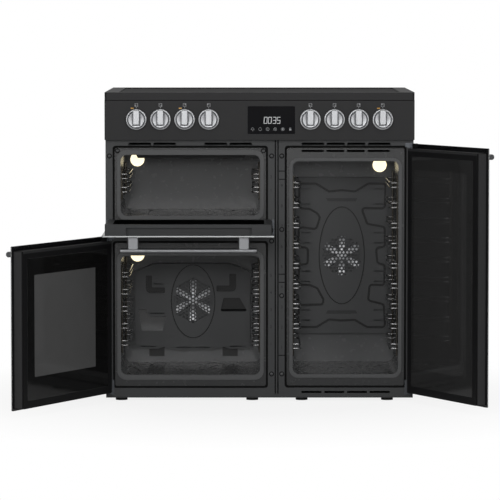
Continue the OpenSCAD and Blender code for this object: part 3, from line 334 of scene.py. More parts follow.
def glowingGlass(name, look):
    # a lit cover or print: its own light, a little uneven, under a clear face
    material, tree = newMaterial(name)
    where = addNode(tree, "ShaderNodeTexCoord").outputs["Object"]
    glow = toneOf(tree, noiseOf(tree, where, 60.0, 2.0), look)
    closePrincipled(tree, {"Roughness": 0.3, "Emission Strength": look["strength"]},
                    {"Base Color": glow, "Emission Color": glow})
    return material


# Coated sheet steel, from the near black of the doors to the lighter grey of the front frames
panelSteel = coatedSteel("satinCoatedPanelSteel", {
    "dark": "1c1c1d", "light": "202021", "rough": 0.5, "specular": 0.2, "peelMm": 1.2, "bump": 0.2})
frameSteel = coatedSteel("enamelledFrameSteel", {
    "dark": "303132", "light": "343536", "rough": 0.42, "specular": 0.25, "peelMm": 1.4, "bump": 0.2})
bodySteel = coatedSteel("powderCoatedBodySteel", {
    "dark": "2a2b2c", "light": "303132", "rough": 0.55, "specular": 0.25, "peelMm": 1.2, "bump": 0.3})
doorSteel = coatedSteel("enamelledDoorSteel", {
    "dark": "141415", "light": "181819", "rough": 0.5, "specular": 0.15, "peelMm": 1.2, "bump": 0.2})
grillDoorSteel = coatedSteel("enamelledGrillDoorSteel", {
    "dark": "2e2f30", "light": "323334", "rough": 0.45, "specular": 0.2, "peelMm": 1.4, "bump": 0.2})
# a lighter copy of the door paint: painted light on the doors' top folds and free sides
litDoorEdgeSteel = coatedSteel("satinDoorEdgeSteel", {
    "dark": "2b2b2c", "light": "2f2f30", "rough": 0.5, "specular": 0.3, "peelMm": 1.2, "bump": 0.2})

# Oven enamel with painted shade by depth: dark in the grooves by the front and behind the covers' slots,
# lighter on the back walls
linerLook = {"ground": "4e4f50", "fleck": "575859", "rough": 0.26, "specular": 0.35, "fleckMm": 2.0,
             "levels": [(0, 0.32), (2, 0.32), (4, 0.10), (14, 0.14), (60, 0.42), (300, 0.56), (397, 1.0),
                        (600, 1.0)]}
grillShadeLevels = [(0, 0.34), (2, 0.34), (4, 0.10), (14, 0.14), (60, 0.42), (300, 0.5), (397, 0.92),
               (600, 1.0)]
coverLook = {"ground": "424344", "fleck": "4b4c4d", "rough": 0.38, "specular": 0.25, "fleckMm": 2.0}
# painted shade on the fan covers: dark behind their fronts, in their grooves and slots
mainCoverShadeLevels = [(373, 1.0), (375, 1.0), (377.5, 0.12), (400, 0.12)]
tallCoverShadeLevels = [(379, 1.0), (381, 1.0), (383.5, 0.06), (400, 0.06)]
linerEnamel = vitreousEnamel("vitreousOvenEnamelPaintedShade", linerLook)
grillEnamel = vitreousEnamel("vitreousGrillEnamelPaintedShade",
                             dict(linerLook, ground="3d3e3f", fleck="454647", levels=grillShadeLevels))
mainCoverEnamel = vitreousEnamel("vitreousMainCoverEnamelPaintedShade", dict(coverLook, levels=mainCoverShadeLevels))
tallCoverEnamel = vitreousEnamel("vitreousTallCoverEnamelPaintedShade", dict(coverLook, levels=tallCoverShadeLevels))

# Rubber, plastic and print, and painted shade in seams, round screw heads and in stamped figures:
# matt and quiet
gasketRubber = mouldedPlastic("siliconeDoorGasket", {
    "dark": "343536", "light": "3c3d3e", "rough": 0.5, "specular": 0.5, "grainMm": 1.0})
blackRubber = mouldedPlastic("blackFootRubber", {
    "dark": "141414", "light": "1a1a1a", "rough": 0.7, "specular": 0.3, "grainMm": 0.8})
housingPlastic = mouldedPlastic("greyHousingNylon", {
    "dark": "35373a", "light": "3c3e42", "rough": 0.6, "specular": 0.3, "grainMm": 0.8})
glassEdge = mouldedPlastic("groundGlassEdge", {
    "dark": "b4b6b6", "light": "c0c2c2", "rough": 0.5, "specular": 0.4, "grainMm": 0.5})
seamShadow = mouldedPlastic("foldedSeamShadow", {
    "dark": "080808", "light": "0c0c0c", "rough": 0.8, "specular": 0.1, "grainMm": 0.5})
seatShadow = mouldedPlastic("screwSeatShadow", {
    "dark": "0c0c0c", "light": "101010", "rough": 0.8, "specular": 0.1, "grainMm": 0.5})
signInk = mouldedPlastic("paleScreenPrint", {
    "dark": "8c8d8f", "light": "98999b", "rough": 0.6, "specular": 0.2, "grainMm": 0.5})
# dark figures of painted shade for the stamped shelf numbers
stampShade = mouldedPlastic("stampedFigureShadow", {
    "dark": "1e1e1f", "light": "222223", "rough": 0.6, "specular": 0.1, "grainMm": 0.5})
blackScrew = mouldedPlastic("blackenedScrewSteel", {
    "dark": "38393a", "light": "424344", "rough": 0.4, "specular": 0.4, "grainMm": 0.4})

# Bare metal: soft bright bands on the handles and knobs, glints on the wires and fan wheels
handleSteel = rubbedMetal("brushedStainlessTube", {
    "dark": "6a6b6d", "light": "828385", "rough": 0.42, "grainMm": 0.9})
knobAluminium = rubbedMetal("turnedKnobAluminium", {
    "dark": "929395", "light": "a4a5a7", "rough": 0.42, "grainMm": 0.6})
# a darker copy of the knob metal: painted shade in the knobs' grooves and beside their grips
knobShade = rubbedMetal("shadedTurnedAluminium", {
    "dark": "56575a", "light": "646567", "rough": 0.5, "grainMm": 0.6})
fanSteel = rubbedMetal("brightFanSteel", {
    "dark": "808183", "light": "a0a1a3", "rough": 0.42, "grainMm": 1.2})
plainSteel = rubbedMetal("zincPlatedSteel", {
    "dark": "3f4144", "light": "505255", "rough": 0.4, "grainMm": 2.0})
heaterSteel = rubbedMetal("oxidisedHeaterSteel", {
    "dark": "3a302a", "light": "4a3e36", "rough": 0.45, "grainMm": 2.0})
# painted light: the rack wire is dark on its upright faces and light on those turned up or down
wireChrome = rackWirePaintedLight("chromedRackWirePaintedLight", {
    "dark": "4a4640", "light": "d0d1d3", "rough": 0.25, "grainMm": 1.5})

# Glass: black and smoked panes that mirror the room, and the lit and amber lenses
outerGlass = darkGlass("blackPrintedDoorGlass", {
    "dark": "0b0b0d", "light": "101012", "rough": 0.03, "specular": 0.5})
mainInnerGlass = darkGlass("smokedMainDoorGlass", {
    "dark": "565656", "light": "5c5c5c", "rough": 0.03, "specular": 0.5, "ior": 2.0})
innerGlass = darkGlass("smokedInnerDoorGlass", {
    "dark": "323232", "light": "373737", "rough": 0.03, "specular": 0.5, "ior": 2.0})
smokedGrillGlass = darkGlass("smokedGrillDoorGlass", {
    "dark": "040404", "light": "080808", "rough": 0.35, "specular": 0.0, "ior": 1.0})
printedGlass = darkGlass("blackGlassPrint", {
    "dark": "111111", "light": "161616", "rough": 0.05, "specular": 0.5})
greyPrint = darkGlass("greyGlassPrint", {
    "dark": "292929", "light": "2e2e2e", "rough": 0.05, "specular": 0.5})
hobGlass = darkGlass("blackCeramicHobGlass", {
    "dark": "08080a", "light": "0c0c0e", "rough": 0.3, "specular": 0.2, "ior": 1.03})
displayGlass = darkGlass("smokedDisplayGlass", {
    "dark": "121214", "light": "161618", "rough": 0.08, "specular": 0.1, "ior": 1.3})
lampGlass = glowingGlass("litOvenLampGlass", {"dark": "ffeec0", "light": "fff6d8", "strength": 1.3})
amberLens = glowingGlass("amberSignalLens", {"dark": "8a6206", "light": "a67a0c", "strength": 0.18})
clockInk = glowingGlass("litClockSegments", {"dark": "a8a9ab", "light": "b8b9bb", "strength": 0.25})
print("materials ready")

finishOf = {
    panelSteel: ["hob_frame", "control_panel"],
    frameSteel: ["front_frame_left", "front_frame_right", "centre_strip"],
    bodySteel: ["base_tray", "side_panel_left", "side_panel_right", "rear_panel", "terminal_box"],
    linerEnamel: ["main_cavity", "tall_cavity", "vent_fitting"],
    grillEnamel: ["grill_cavity"],
    mainCoverEnamel: ["main_fan_cover"],
    tallCoverEnamel: ["tall_fan_cover"],
    gasketRubber: ["grill_seal", "main_seal", "tall_seal"],
    blackRubber: ["levelling_feet", "cable_grommet"],
    housingPlastic: ["timer_module", "rotary_switches"],
    handleSteel: ["grill_door_handle", "main_door_handle", "tall_door_handle"],
    knobAluminium: ["knob_%d" % k for k in range(1, 9)],
    wireChrome: ["grill_racks", "main_racks", "tall_racks"],
    fanSteel: ["main_fan", "tall_fan"],
    plainSteel: ["fan_motors", "hinge_brackets", "hob_elements"],
    heaterSteel: ["fan_elements", "grill_element"],
    doorSteel: ["grill_deflector", "main_door_frame", "tall_door_frame"],
    grillDoorSteel: ["grill_door_frame"],
    outerGlass: ["grill_door_outer_glass", "main_door_outer_glass", "tall_door_outer_glass"],
    mainInnerGlass: ["main_door_inner_glass"],
    innerGlass: ["tall_door_inner_glass"],
    smokedGrillGlass: ["grill_door_inner_glass"],
    hobGlass: ["hob_glass"],
    displayGlass: ["display_window"],
    lampGlass: ["lamp_lenses"],
    amberLens: ["indicator_lenses"],
}
for finish, names in finishOf.items():
    for name in names:
        piece = nodes[name]
        piece.data.materials.clear()
        piece.data.materials.append(finish)
print("finishes laid on the packed parts")


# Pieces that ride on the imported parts

jointOf = {joint["name"]: joint for joint in frame["joints"]}


def closedToOpen(jointName):
    # a joint's full travel closes its door, so a closed door turned back by it is the door at rest
    joint = jointOf[jointName]
    pivot = Vector(joint["pos_m"])
    turn = Matrix.Rotation(-math.radians(joint["range_deg"][1]), 4, Vector(joint["axis"]))
    return Matrix.Translation(pivot) @ turn @ Matrix.Translation(-pivot)


def addPiece(name, verts, faces, material, body, slot, move=None):
    # a mesh of points in millimetres as spot takes them, moved whole where a matrix is given, its faces
    # turned outward
    points = np.asarray(verts, dtype=float) * mm + np.array(spot(0, 0, 0))
    if move is not None:
        turn = np.array(move)
        points = points @ turn[:3, :3].T + turn[:3, 3]
    mesh = bpy.data.meshes.new(name)
    mesh.from_pydata(points.tolist(), [], [list(map(int, face)) for face in faces])
    mesh.validate()
    shape = bmesh.new()
    shape.from_mesh(mesh)
    bmesh.ops.recalc_face_normals(shape, faces=shape.faces)
    shape.to_mesh(mesh)
    shape.free()
    piece = bpy.data.objects.new(name, mesh)
    bpy.context.collection.objects.link(piece)
    mesh.materials.append(material)
    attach(piece, body)
    return piece


def gather(shapes):
    # joins (points, faces) pairs into one such pair
    verts, faces, start = [], [], 0
    for points, polygons in shapes:
        verts.append(np.asarray(points, dtype=float))
        faces += [[start + i for i in polygon] for polygon in polygons]
        start += len(points)
    return np.concatenate(verts), faces


def slab(outline, y0, y1):
    # a prism: an outline in x and z, anticlockwise from the front, carried back from y0 to y1
    flat = np.asarray(outline, dtype=float)
    n = len(flat)
    front = np.column_stack([flat[:, 0], np.full(n, y0), flat[:, 1]])
    back = np.column_stack([flat[:, 0], np.full(n, y1), flat[:, 1]])
    sides = [[i, i + n, (i + 1) % n + n, (i + 1) % n] for i in range(n)]
    return np.concatenate([front, back]), [list(range(n)), list(range(2 * n - 1, n - 1, -1))] + sides


def box(x0, x1, z0, z1):
    return [(x0, z0), (x1, z0), (x1, z1), (x0, z1)]


def disc(x, z, radius, count):
    # radius times cos and sin of a full turn
    turn = np.linspace(0, 2 * math.pi, count, endpoint=False)
    return np.column_stack([x + radius * np.cos(turn), z + radius * np.sin(turn)])


def bar(x0, z0, x1, z1, width):
    # a straight stroke: its two ends set off square to it by half its width
    along = np.array([x1 - x0, z1 - z0])
    side = np.array([along[1], -along[0]]) / np.hypot(*along) * width / 2
    start, end = np.array([x0, z0]), np.array([x1, z1])
    return [start + side, end + side, end - side, start - side]


def loop(points, width):
    # bars along a closed line
    return [bar(*points[i - 1], *points[i], width) for i in range(len(points))]


# Panel print: knob ticks and zone signs, the clock and the touch signs

panelFront = (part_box("control_panel")[0][1] - frontY) / mm
knobBoxes = [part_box("knob_%d" % k) for k in range(1, 9)]
knobSpots = [(((low[0] + high[0]) / 2 - middleX) / mm, (low[2] + high[2]) / 2 / mm)
             for low, high in knobBoxes]
knobRadius = (knobBoxes[0][1][0] - knobBoxes[0][0][0]) / 2 / mm
printLook = {"skin": 0.12, "tick": (1.4, 3.5), "tickUp": 2.5, "sign": 9, "signUp": 4.8, "stroke": 1.1,
             "zone": (0.1, 0.2), "digits": "0035", "digitX": (12.6, 24.9, 38.2, 50.4), "digitW": 8.6,
             "digitZ": (814, 832), "digitStroke": 1.65, "colon": (35.4, (819, 827), 0.8), "lean": 0.08}
# the touch signs stand in a row, and their marks are in millimetres from each one's middle
touchLook = {"x": (-20.1, 1.7, 23.5, 45.3, 67.1, 89.1), "z": 797.5, "radius": 4.4, "stroke": 0.88,
             "bell": ((-4.4, -2), (4.4, -2), (2.64, 2.5), (0, 4.4), (-2.64, 2.5)),
             "clapper": (0, -4.4, 1.1), "minus": (-2, 0, 2, 0),
             "cross": ((-2, -2, 2, 2), (-2, 2, 2, -2)), "pupil": 2.6,
             "lock": (-3, 3, -4, 1), "shackle": (-2, 2, 1, 4)}
segments = {"0": "abcdef", "3": "abcdg", "5": "acdfg"}


def zoneSign(x, z, look, filled):
    # a square of four cooking zones, one of them larger and solid
    size = look["sign"]
    half, quarter = size / 2, size / 4
    ways = [(-1, -1), (1, -1), (1, 1), (-1, 1)]
    marks = loop([(x + a * half, z + b * half) for a, b in ways], look["stroke"] * 0.7)
    for i, (a, b) in enumerate(ways):
        marks.append(disc(x + a * quarter, z + b * quarter, size * look["zone"][i == filled], 12))
    return marks


def digit(x, name, look):
    # bars between the corners of an upright box that leans by its height times lean
    (z0, z1), width, lean = look["digitZ"], look["digitW"], look["lean"]
    mid = (z0 + z1) / 2
    ends = {"a": (0, z1, width, z1), "b": (width, z1, width, mid), "c": (width, mid, width, z0),
            "d": (0, z0, width, z0), "e": (0, mid, 0, z0), "f": (0, z1, 0, mid),
            "g": (0, mid, width, mid)}
    marks = []
    for key in segments[name]:
        xa, za, xb, zb = ends[key]
        marks.append(bar(x + xa + (za - z0) * lean, za, x + xb + (zb - z0) * lean, zb,
                         look["digitStroke"]))
    return marks


def touchSigns(look):
    # a bell, a dial, a minus, a cross, an eye and a lock
    z, w = look["z"], look["stroke"]
    bell, dial, minus, cross, eye, lock = look["x"]
    marks = loop([(bell + a, z + b) for a, b in look["bell"]], w)
    a, b, radius = look["clapper"]
    marks.append(disc(bell + a, z + b, radius, 8))
    for x in (dial, minus, cross, eye):
        marks += loop(disc(x, z, look["radius"], 14), w)
    for x, (xa, za, xb, zb) in [(minus, look["minus"])] + [(cross, ends) for ends in look["cross"]]:
        marks.append(bar(x + xa, z + za, x + xb, z + zb, w))
    marks.append(disc(eye, z, look["pupil"], 10))
    x0, x1, z0, z1 = look["lock"]
    marks.append(box(lock + x0, lock + x1, z + z0, z + z1))
    x0, x1, z0, z1 = look["shackle"]
    return marks + loop(box(lock + x0, lock + x1, z + z0, z + z1), w)


def makePrints(look, touch):
    y0, y1 = panelFront - look["skin"], panelFront
    marks = []
    for i, (x, z) in enumerate(knobSpots):
        wide, tall = look["tick"]
        low = z + knobRadius + look["tickUp"]
        marks.append(box(x - wide / 2, x + wide / 2, low, low + tall))
        marks += zoneSign(x, low + look["signUp"] + look["sign"] / 2, look, i % 4)
    addPiece("panel_print", *gather([slab(m, y0, y1) for m in marks]), signInk, "body", "panel_paint")
    marks = []
    for x, name in zip(look["digitX"], look["digits"]):
        marks += digit(x, name, look)
    x, heights, radius = look["colon"]
    marks += [disc(x, z, radius, 8) for z in heights]
    addPiece("clock_digits", *gather([slab(m, y0, y1) for m in marks]), clockInk, "body", "hob_glass")
    marks = touchSigns(touch)
    addPiece("touch_signs", *gather([slab(m, y0, y1) for m in marks]), signInk, "body", "hob_glass")


makePrints(printLook, touchLook)
print("panel print done")


# Frame fittings: screws, the jointed strip and the shelf numbers

screwLook = {"radius": 4.7, "rise": 1.2, "recess": 0.8, "slot": 0.8, "reach": 2.4, "seat": 2.6,
             "skin": 0.1, "rings": 9, "around": 32}
# each screw: millimetres right of the middle, above the floor, and the y of the face it holds
screwSpots = [(-437.6, 718, 0), (35.3, 718, 0), (35.3, 469.6, 0), (35.3, 79.6, 0), (64.9, 718, -0.5),
              (64.9, 503.2, -0.5), (64.9, 309.4, -0.5), (64.9, 79.8, -0.5), (-414.3, 733, 0),
              (11.6, 733, 0)]


def screwHead(x, y, z, look):
    # rise times 1 less the square of r over the radius, less the recess in the slots of its cross
    radii = np.linspace(0, look["radius"], look["rings"])
    turn = np.linspace(0, 2 * math.pi, look["around"], endpoint=False)
    r, a = np.meshgrid(radii, turn, indexing="ij")
    dx, dz = r * np.cos(a), r * np.sin(a)
    cross = ((np.abs(dx) < look["slot"]) | (np.abs(dz) < look["slot"])) & (r < look["reach"])
    rise = look["rise"] * (1 - (r / look["radius"]) ** 2) - look["recess"] * cross
    points = np.stack([x + dx, y - rise, z + dz], axis=-1).reshape(-1, 3)
    rows, n = r.shape
    faces = [[i * n + j, i * n + (j + 1) % n, (i + 1) * n + (j + 1) % n, (i + 1) * n + j]
             for i in range(rows - 1) for j in range(n)]
    return points, faces


def makeScrews(look):
    heads = [screwHead(x, y, z, look) for x, z, y in screwSpots]
    addPiece("frame_screws", *gather(heads), blackScrew, "body", "motor_steel")
    # painted shade: a dark ring round each screw head
    seatShades = [slab(disc(x, z, look["radius"] + look["seat"], 24), y - look["skin"], y)
             for x, z, y in screwSpots]
    addPiece("screw_seat_shade", *gather(seatShades), seatShadow, "body", "front_frame_paint")


stripLook = {"x": (56.6, 73.4), "gap": 2.8, "proud": 0.5,
             "cuts": (741, 674, 650, 372.6, 348.7, 134.4, 22)}


def makeStrip(look):
    # plates between the cuts, half a gap short of each
    half = look["gap"] / 2
    plates = [slab(box(*look["x"], low + half, high - half), -look["proud"], 0.0)
              for high, low in zip(look["cuts"], look["cuts"][1:])]
    addPiece("post_strip", *gather(plates), frameSteel, "body", "front_frame_paint")


numberLook = {"size": 12.15, "leftX": 33.6, "rightX": 65.0, "skin": 0.08, "lift": 0.05, "above": 6.5}
# the shelves of each oven: the lowest one's height, the step between two and how many
shelfLook = {"main": (161, 50.3, 5), "grill": (611, 39, 2), "tall": (151, 59.2, 9)}


def numberPiece(items, name, look):
    # each figure's flat outline, turned upright, set at its place and joined to the others
    shapes = []
    for figureText, x, y, z in items:
        curve = bpy.data.curves.new("figure", "FONT")
        curve.body = figureText
        curve.size = look["size"]
        curve.align_x = "CENTER"
        curve.align_y = "CENTER"
        curve.extrude = look["skin"] / 2
        figure = bpy.data.objects.new("figure", curve)
        bpy.context.collection.objects.link(figure)
        bpy.context.view_layer.update()
        view = bpy.context.evaluated_depsgraph_get()
        flat = bpy.data.meshes.new_from_object(figure.evaluated_get(view))
        points = np.empty(len(flat.vertices) * 3)
        flat.vertices.foreach_get("co", points)
        points = points.reshape(-1, 3)
        upright = np.column_stack([points[:, 0] + x, y - points[:, 2], points[:, 1] + z])
        shapes.append((upright, [list(p.vertices) for p in flat.polygons]))
        bpy.data.objects.remove(figure)
        bpy.data.curves.remove(curve)
        bpy.data.meshes.remove(flat)
    # the figures lie flat on the frame in a dark colour, as painted shade of the stamping
    addPiece(name, *gather(shapes), stampShade, "body", "front_frame_paint")


def makeNumbers(look):
    stamps = []
    for oven, x, face in (("main", look["leftX"], 0), ("grill", look["leftX"], 0),
                          ("tall", look["rightX"], -stripLook["proud"])):
        lowest, step, count = shelfLook[oven]
        for k in range(count):
            stamps.append((str(k + 1), x, face - look["lift"], lowest + k * step + look["above"]))
    numberPiece(stamps, "shelf_numbers", look)


makeScrews(screwLook)
makeStrip(stripLook)
makeNumbers(numberLook)
print("frame fittings done")


# Lofted and turned shapes


def loft(rings):
    # rings of points with equal counts, joined by quads, with a flat cap at each end
    rings = [np.asarray(ring, dtype=float) for ring in rings]
    n = len(rings[0])
    faces = [[k * n + i, k * n + (i + 1) % n, (k + 1) * n + (i + 1) % n, (k + 1) * n + i]
             for k in range(len(rings) - 1) for i in range(n)]
    faces += [list(range(n - 1, -1, -1)), [(len(rings) - 1) * n + i for i in range(n)]]
    return np.concatenate(rings), faces


def turned(profile, axis, at, count=64):
    # each (along, radius) of the profile swept by a full turn about the x or the y axis through at
    turn = np.linspace(0, 2 * math.pi, count, endpoint=False)
    rings = []
    for along, radius in profile:
        a, b = radius * np.cos(turn), radius * np.sin(turn)
        ring = (np.full(count, along), a, b) if axis == "x" else (b, np.full(count, along), a)
        rings.append(np.column_stack(ring) + np.array(at))
    return loft(rings)


def ringSlab(outer, inner, y0, y1):
    # a flat ring between two outlines of equal counts, carried back from y0 to y1
    n = len(outer)
    rings = [np.column_stack([flat[:, 0], np.full(n, y), flat[:, 1]])
             for flat, y in ((outer, y0), (outer, y1), (inner, y1), (inner, y0))]
    faces = [[k * n + i, k * n + (i + 1) % n, (k + 1) % 4 * n + (i + 1) % n, (k + 1) % 4 * n + i]
             for k in range(4) for i in range(n)]
    return np.concatenate(rings), faces


def roundBox(x0, x1, z0, z1, radius, steps=6):
    # a rounded rectangle: quarter turns of the radius about its four inner corners
    points = []
    for cx, cz, start in [(x1 - radius, z1 - radius, 0), (x0 + radius, z1 - radius, 90),
                          (x0 + radius, z0 + radius, 180), (x1 - radius, z0 + radius, 270)]:
        for a in np.radians(np.linspace(start, start + 90, steps + 1)):
            points.append((cx + radius * math.cos(a), cz + radius * math.sin(a)))
    return np.array(points)


# Door dressing: each door is described closed, in millimetres, and turned open with its pieces

doors = {
    "main": {"joint": "main_door_hinge", "frame": (-447, 35, 26, 469.8), "pane": (-449, 43, 20, 482.8),
             "window": (-356, -24.5, 112, 400), "print": printedGlass, "free": 35, "out": 1,
             "handle": (-398, -8, 455.8)},
    "tall": {"joint": "tall_door_hinge", "frame": (65, 447, 26, 740.4), "pane": (57, 449, 20, 753.4),
             "window": (122, 410, 100, 680), "print": greyPrint, "free": 65, "out": -1,
             "handle": (108, 398, 726.4)},
    "grill": {"joint": "grill_door_hinge", "frame": (-441, 35, 498, 740.4),
              "pane": (-449, 43, 487, 753.4), "handle": (-398, -8, 726.4)},
}
# y of the inner face and of the outer glass, how far the frame laps the inner glass, and for each piece
# of dressing how far it stays in from the edges it lies on
doorLook = {"inner": -4.5, "glass": (-40, -35.5), "lap": 22.3, "skin": 0.12,
            "fold": {"high": 7, "side": 1, "top": 0.4}, "face": {"end": 2, "front": 1.5, "back": 5.0},
            "seam": {"end": 1, "front": 1.6, "back": 0.3},
            "margin": {"gap": 0.3, "top": 0.5, "thick": 0.3},
            "edge": {"thick": 0.05, "end": 2, "inset": 0.5, "sideInset": 2.5}}
handleLook = {"y": -80.7, "tube": 7.4, "sleeve": 8.0, "sleeveLong": 74, "round": 1.2, "joint": 0.5,
              "post": {"wide": 16.2, "high": 6, "corner": 5}}


def makeGlassPrint(name, door, look, move):
    # the printed band of the inner glass between its frame and its window
    x0, x1, z0, z1 = door["frame"]
    x0, x1, z0, z1 = x0 + look["lap"], x1 - look["lap"], z0 + look["lap"], z1 - look["lap"]
    wx0, wx1, wz0, wz1 = door["window"]
    bands = [box(x0, x1, wz1, z1), box(x0, x1, z0, wz0), box(x0, wx0, wz0, wz1), box(wx1, x1, wz0, wz1)]
    y0, y1 = look["inner"], look["inner"] + look["skin"]
    addPiece(name + "_glass_print", *gather([slab(band, y0, y1) for band in bands]), door["print"],
             name + "_door", "inner_glass", move)


def makeFolds(name, door, look, move):
    # the frame's top fold and free side in a lighter copy of the door paint, as painted light, and a dark
    # seam beside the free side, as painted shade
    x0, x1, z0, z1 = door["frame"]
    inner, skin, free, out = look["inner"], look["skin"], door["free"], door["out"]
    body = name + "_door"
    fold, face, seam = look["fold"], look["face"], look["seam"]
    strip = slab(box(x0 + fold["side"], x1 - fold["side"], z1 - fold["high"], z1 - fold["top"]),
                 inner, inner + skin)
    addPiece(name + "_top_fold", *strip, litDoorEdgeSteel, body, "door_frame_paint", move)
    xa, xb = sorted([free, free + out * skin])
    side = slab(box(xa, xb, z0 + face["end"], z1 - face["end"]), look["glass"][1] + face["front"],
                inner - face["back"])
    addPiece(name + "_free_face", *side, litDoorEdgeSteel, body, "door_frame_paint", move)
    xa, xb = sorted([free, free + out * skin * 2])
    line = slab(box(xa, xb, z0 + seam["end"], z1 - seam["end"]), inner - seam["front"],
                inner - seam["back"])
    addPiece(name + "_free_seam_shade", *line, seamShadow, body, "door_frame_paint", move)


def makeGlassEdges(name, door, look, move):
    # the ground top and free edges of the outer glass, and the dark margins beside the grill door's frame
    x0, x1, z0, z1 = door["frame"]
    px0, px1, pz0, pz1 = door["pane"]
    y0, y1 = look["glass"]
    edge, margin = look["edge"], look["margin"]
    inset, thick = edge["inset"], edge["thick"]
    rims = [slab(box(px0 + edge["end"], px1 - edge["end"], pz1, pz1 + thick), y0 + inset, y1 - inset)]
    if "window" in door:
        xa, xb = (px1, px1 + thick) if door["out"] > 0 else (px0 - thick, px0)
        rims.append(slab(box(xa, xb, pz0 + edge["end"], pz1 - edge["end"]), y0 + inset,
                         y1 - edge["sideInset"]))
    else:
        sides = [slab(box(xa, xb, z0, pz1 - margin["top"]), y1, y1 + margin["thick"])
                 for xa, xb in ((px0, x0 - margin["gap"]), (x1 + margin["gap"], px1))]
        addPiece(name + "_glass_margin", *gather(sides), seamShadow, name + "_door", "door_glass", move)
    addPiece(name + "_glass_edge", *gather(rims), glassEdge, name + "_door", "door_glass", move)


def makeDoor(name, look):
    door = doors[name]
    move = closedToOpen(door["joint"])
    if "window" in door:
        makeGlassPrint(name, door, look, move)
        makeFolds(name, door, look, move)
    makeGlassEdges(name, door, look, move)


def makeHandle(name, look):
    # a tube with a thicker sleeve at each end, a fine joint between, and two flat posts
    x0, x1, z = doors[name]["handle"]
    r, sr, j, e, post = look["tube"], look["sleeve"], look["joint"], look["round"], look["post"]
    xa, xb = x0 + look["sleeveLong"], x1 - look["sleeveLong"]
    profile = [(x0, sr - e), (x0 + e, sr), (xa - j, sr), (xa, sr - j), (xa, r - j), (xa + j, r),
               (xb - j, r), (xb, r - j), (xb, sr - j), (xb + j, sr), (x1 - e, sr), (x1, sr - e)]
    shapes = [turned(profile, "x", (0, look["y"], z), 48)]
    for x in (x0 + look["sleeveLong"] / 2, x1 - look["sleeveLong"] / 2):
        flat = roundBox(x - post["wide"], x + post["wide"], z - post["high"], z + post["high"],
                        post["corner"])
        shapes.append(slab(flat, look["y"], doorLook["glass"][0]))
    piece = addPiece(name + "_handle_bar", *gather(shapes), handleSteel, name + "_door",
                     "brushed_handle", closedToOpen(doors[name]["joint"]))
    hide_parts(name + "_door_handle")


for name in doors:
    makeDoor(name, doorLook)
    makeHandle(name, handleLook)
print("doors dressed")


# Knobs

# millimetres from the panel: the profile's depth and radius from the skirt over the groove to the dish,
# the grip's outline and bevel, and painted shade in the groove and beside and under the grip
knobLook = {"sunk": 1, "profile": ((0, 29), (-1, 30), (-5, 30), (-8, 30), (-9, 29.5), (-9.4, 28.6),
                                   (-9.6, 27), (-10, 26.1), (-8.2, 25.2), (-8.2, 24.3), (-10, 23.7),
                                   (-15, 23.1), (-16.5, 22.8), (-17, 22.35), (-16.4, 18), (-15.6, 12),
                                   (-15.4, 6)),
            "grip": (-9.3, 9.3, -15.3, 27.5), "gripR": 4, "gripY": (-5, -29.8), "bevel": 1.6,
            "groove": (25.65, 23.85), "grooveY": (-8.5, -8.0), "shade": 2.6, "shadeHigh": 18,
            "shadeLap": 1, "shadeY": (-17.1, -15.2)}


def makeKnob(k, look):
    x, z = knobSpots[k - 1]
    back = panelFront - look["sunk"]
    body = "knob_%d_body" % k
    gx0, gx1, gz0, gz1 = look["grip"]
    base, top = look["gripY"]
    b = look["bevel"]
    rings = []
    for y, inset in [(base, 0), (top + b, 0), (top + b * 0.3, b * 0.3), (top, b)]:
        flat = roundBox(gx0 + inset, gx1 - inset, gz0 + inset, gz1 - inset,
                        look["gripR"] - inset * 0.5)[::-1]
        rings.append(np.column_stack([x + flat[:, 0], np.full(len(flat), back + y), z + flat[:, 1]]))
    dial = turned(look["profile"], "y", (x, back, z))
    piece = addPiece("knob_%d_turned" % k, *gather([dial, loft(rings)]), knobAluminium, body,
                     "knob_metal")
    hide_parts("knob_%d" % k)
    # painted shade: a dark ring on the groove's floor and dark strips beside and under the grip
    outer, inner = look["groove"]
    y0, y1 = look["grooveY"]
    groove = ringSlab(disc(x, z, outer, 64), disc(x, z, inner, 64), back + y0, back + y1)
    w, high = look["shade"], look["shadeHigh"]
    y0, y1 = look["shadeY"]
    shadeStrips = [slab(box(x + gx0 - w, x + gx0, z - high, z + high), back + y0, back + y1),
               slab(box(x + gx1, x + gx1 + w, z - high, z + high), back + y0, back + y1),
               slab(box(x + gx0 - w, x + gx1 + w, z + gz0 - w, z + gz0 + look["shadeLap"]),
                    back + y0 + 0.05, back + y1)]
    addPiece("knob_%d_groove" % k, *gather([groove] + shadeStrips), knobShade, body, "knob_metal")


for k in range(1, 9):
    makeKnob(k, knobLook)
print("knobs done")


# Fan wheels

fanLook = {"hub": 12, "hubLong": 12, "hubRound": 1, "bore": 2, "rim": 61.5, "vanes": 6, "turned": 30,
           "vane": 20, "root": 0.55, "start": 0.15, "lip": 9, "sheet": 1.2, "dish": 2.5, "inside": 3,
           "steps": 12}


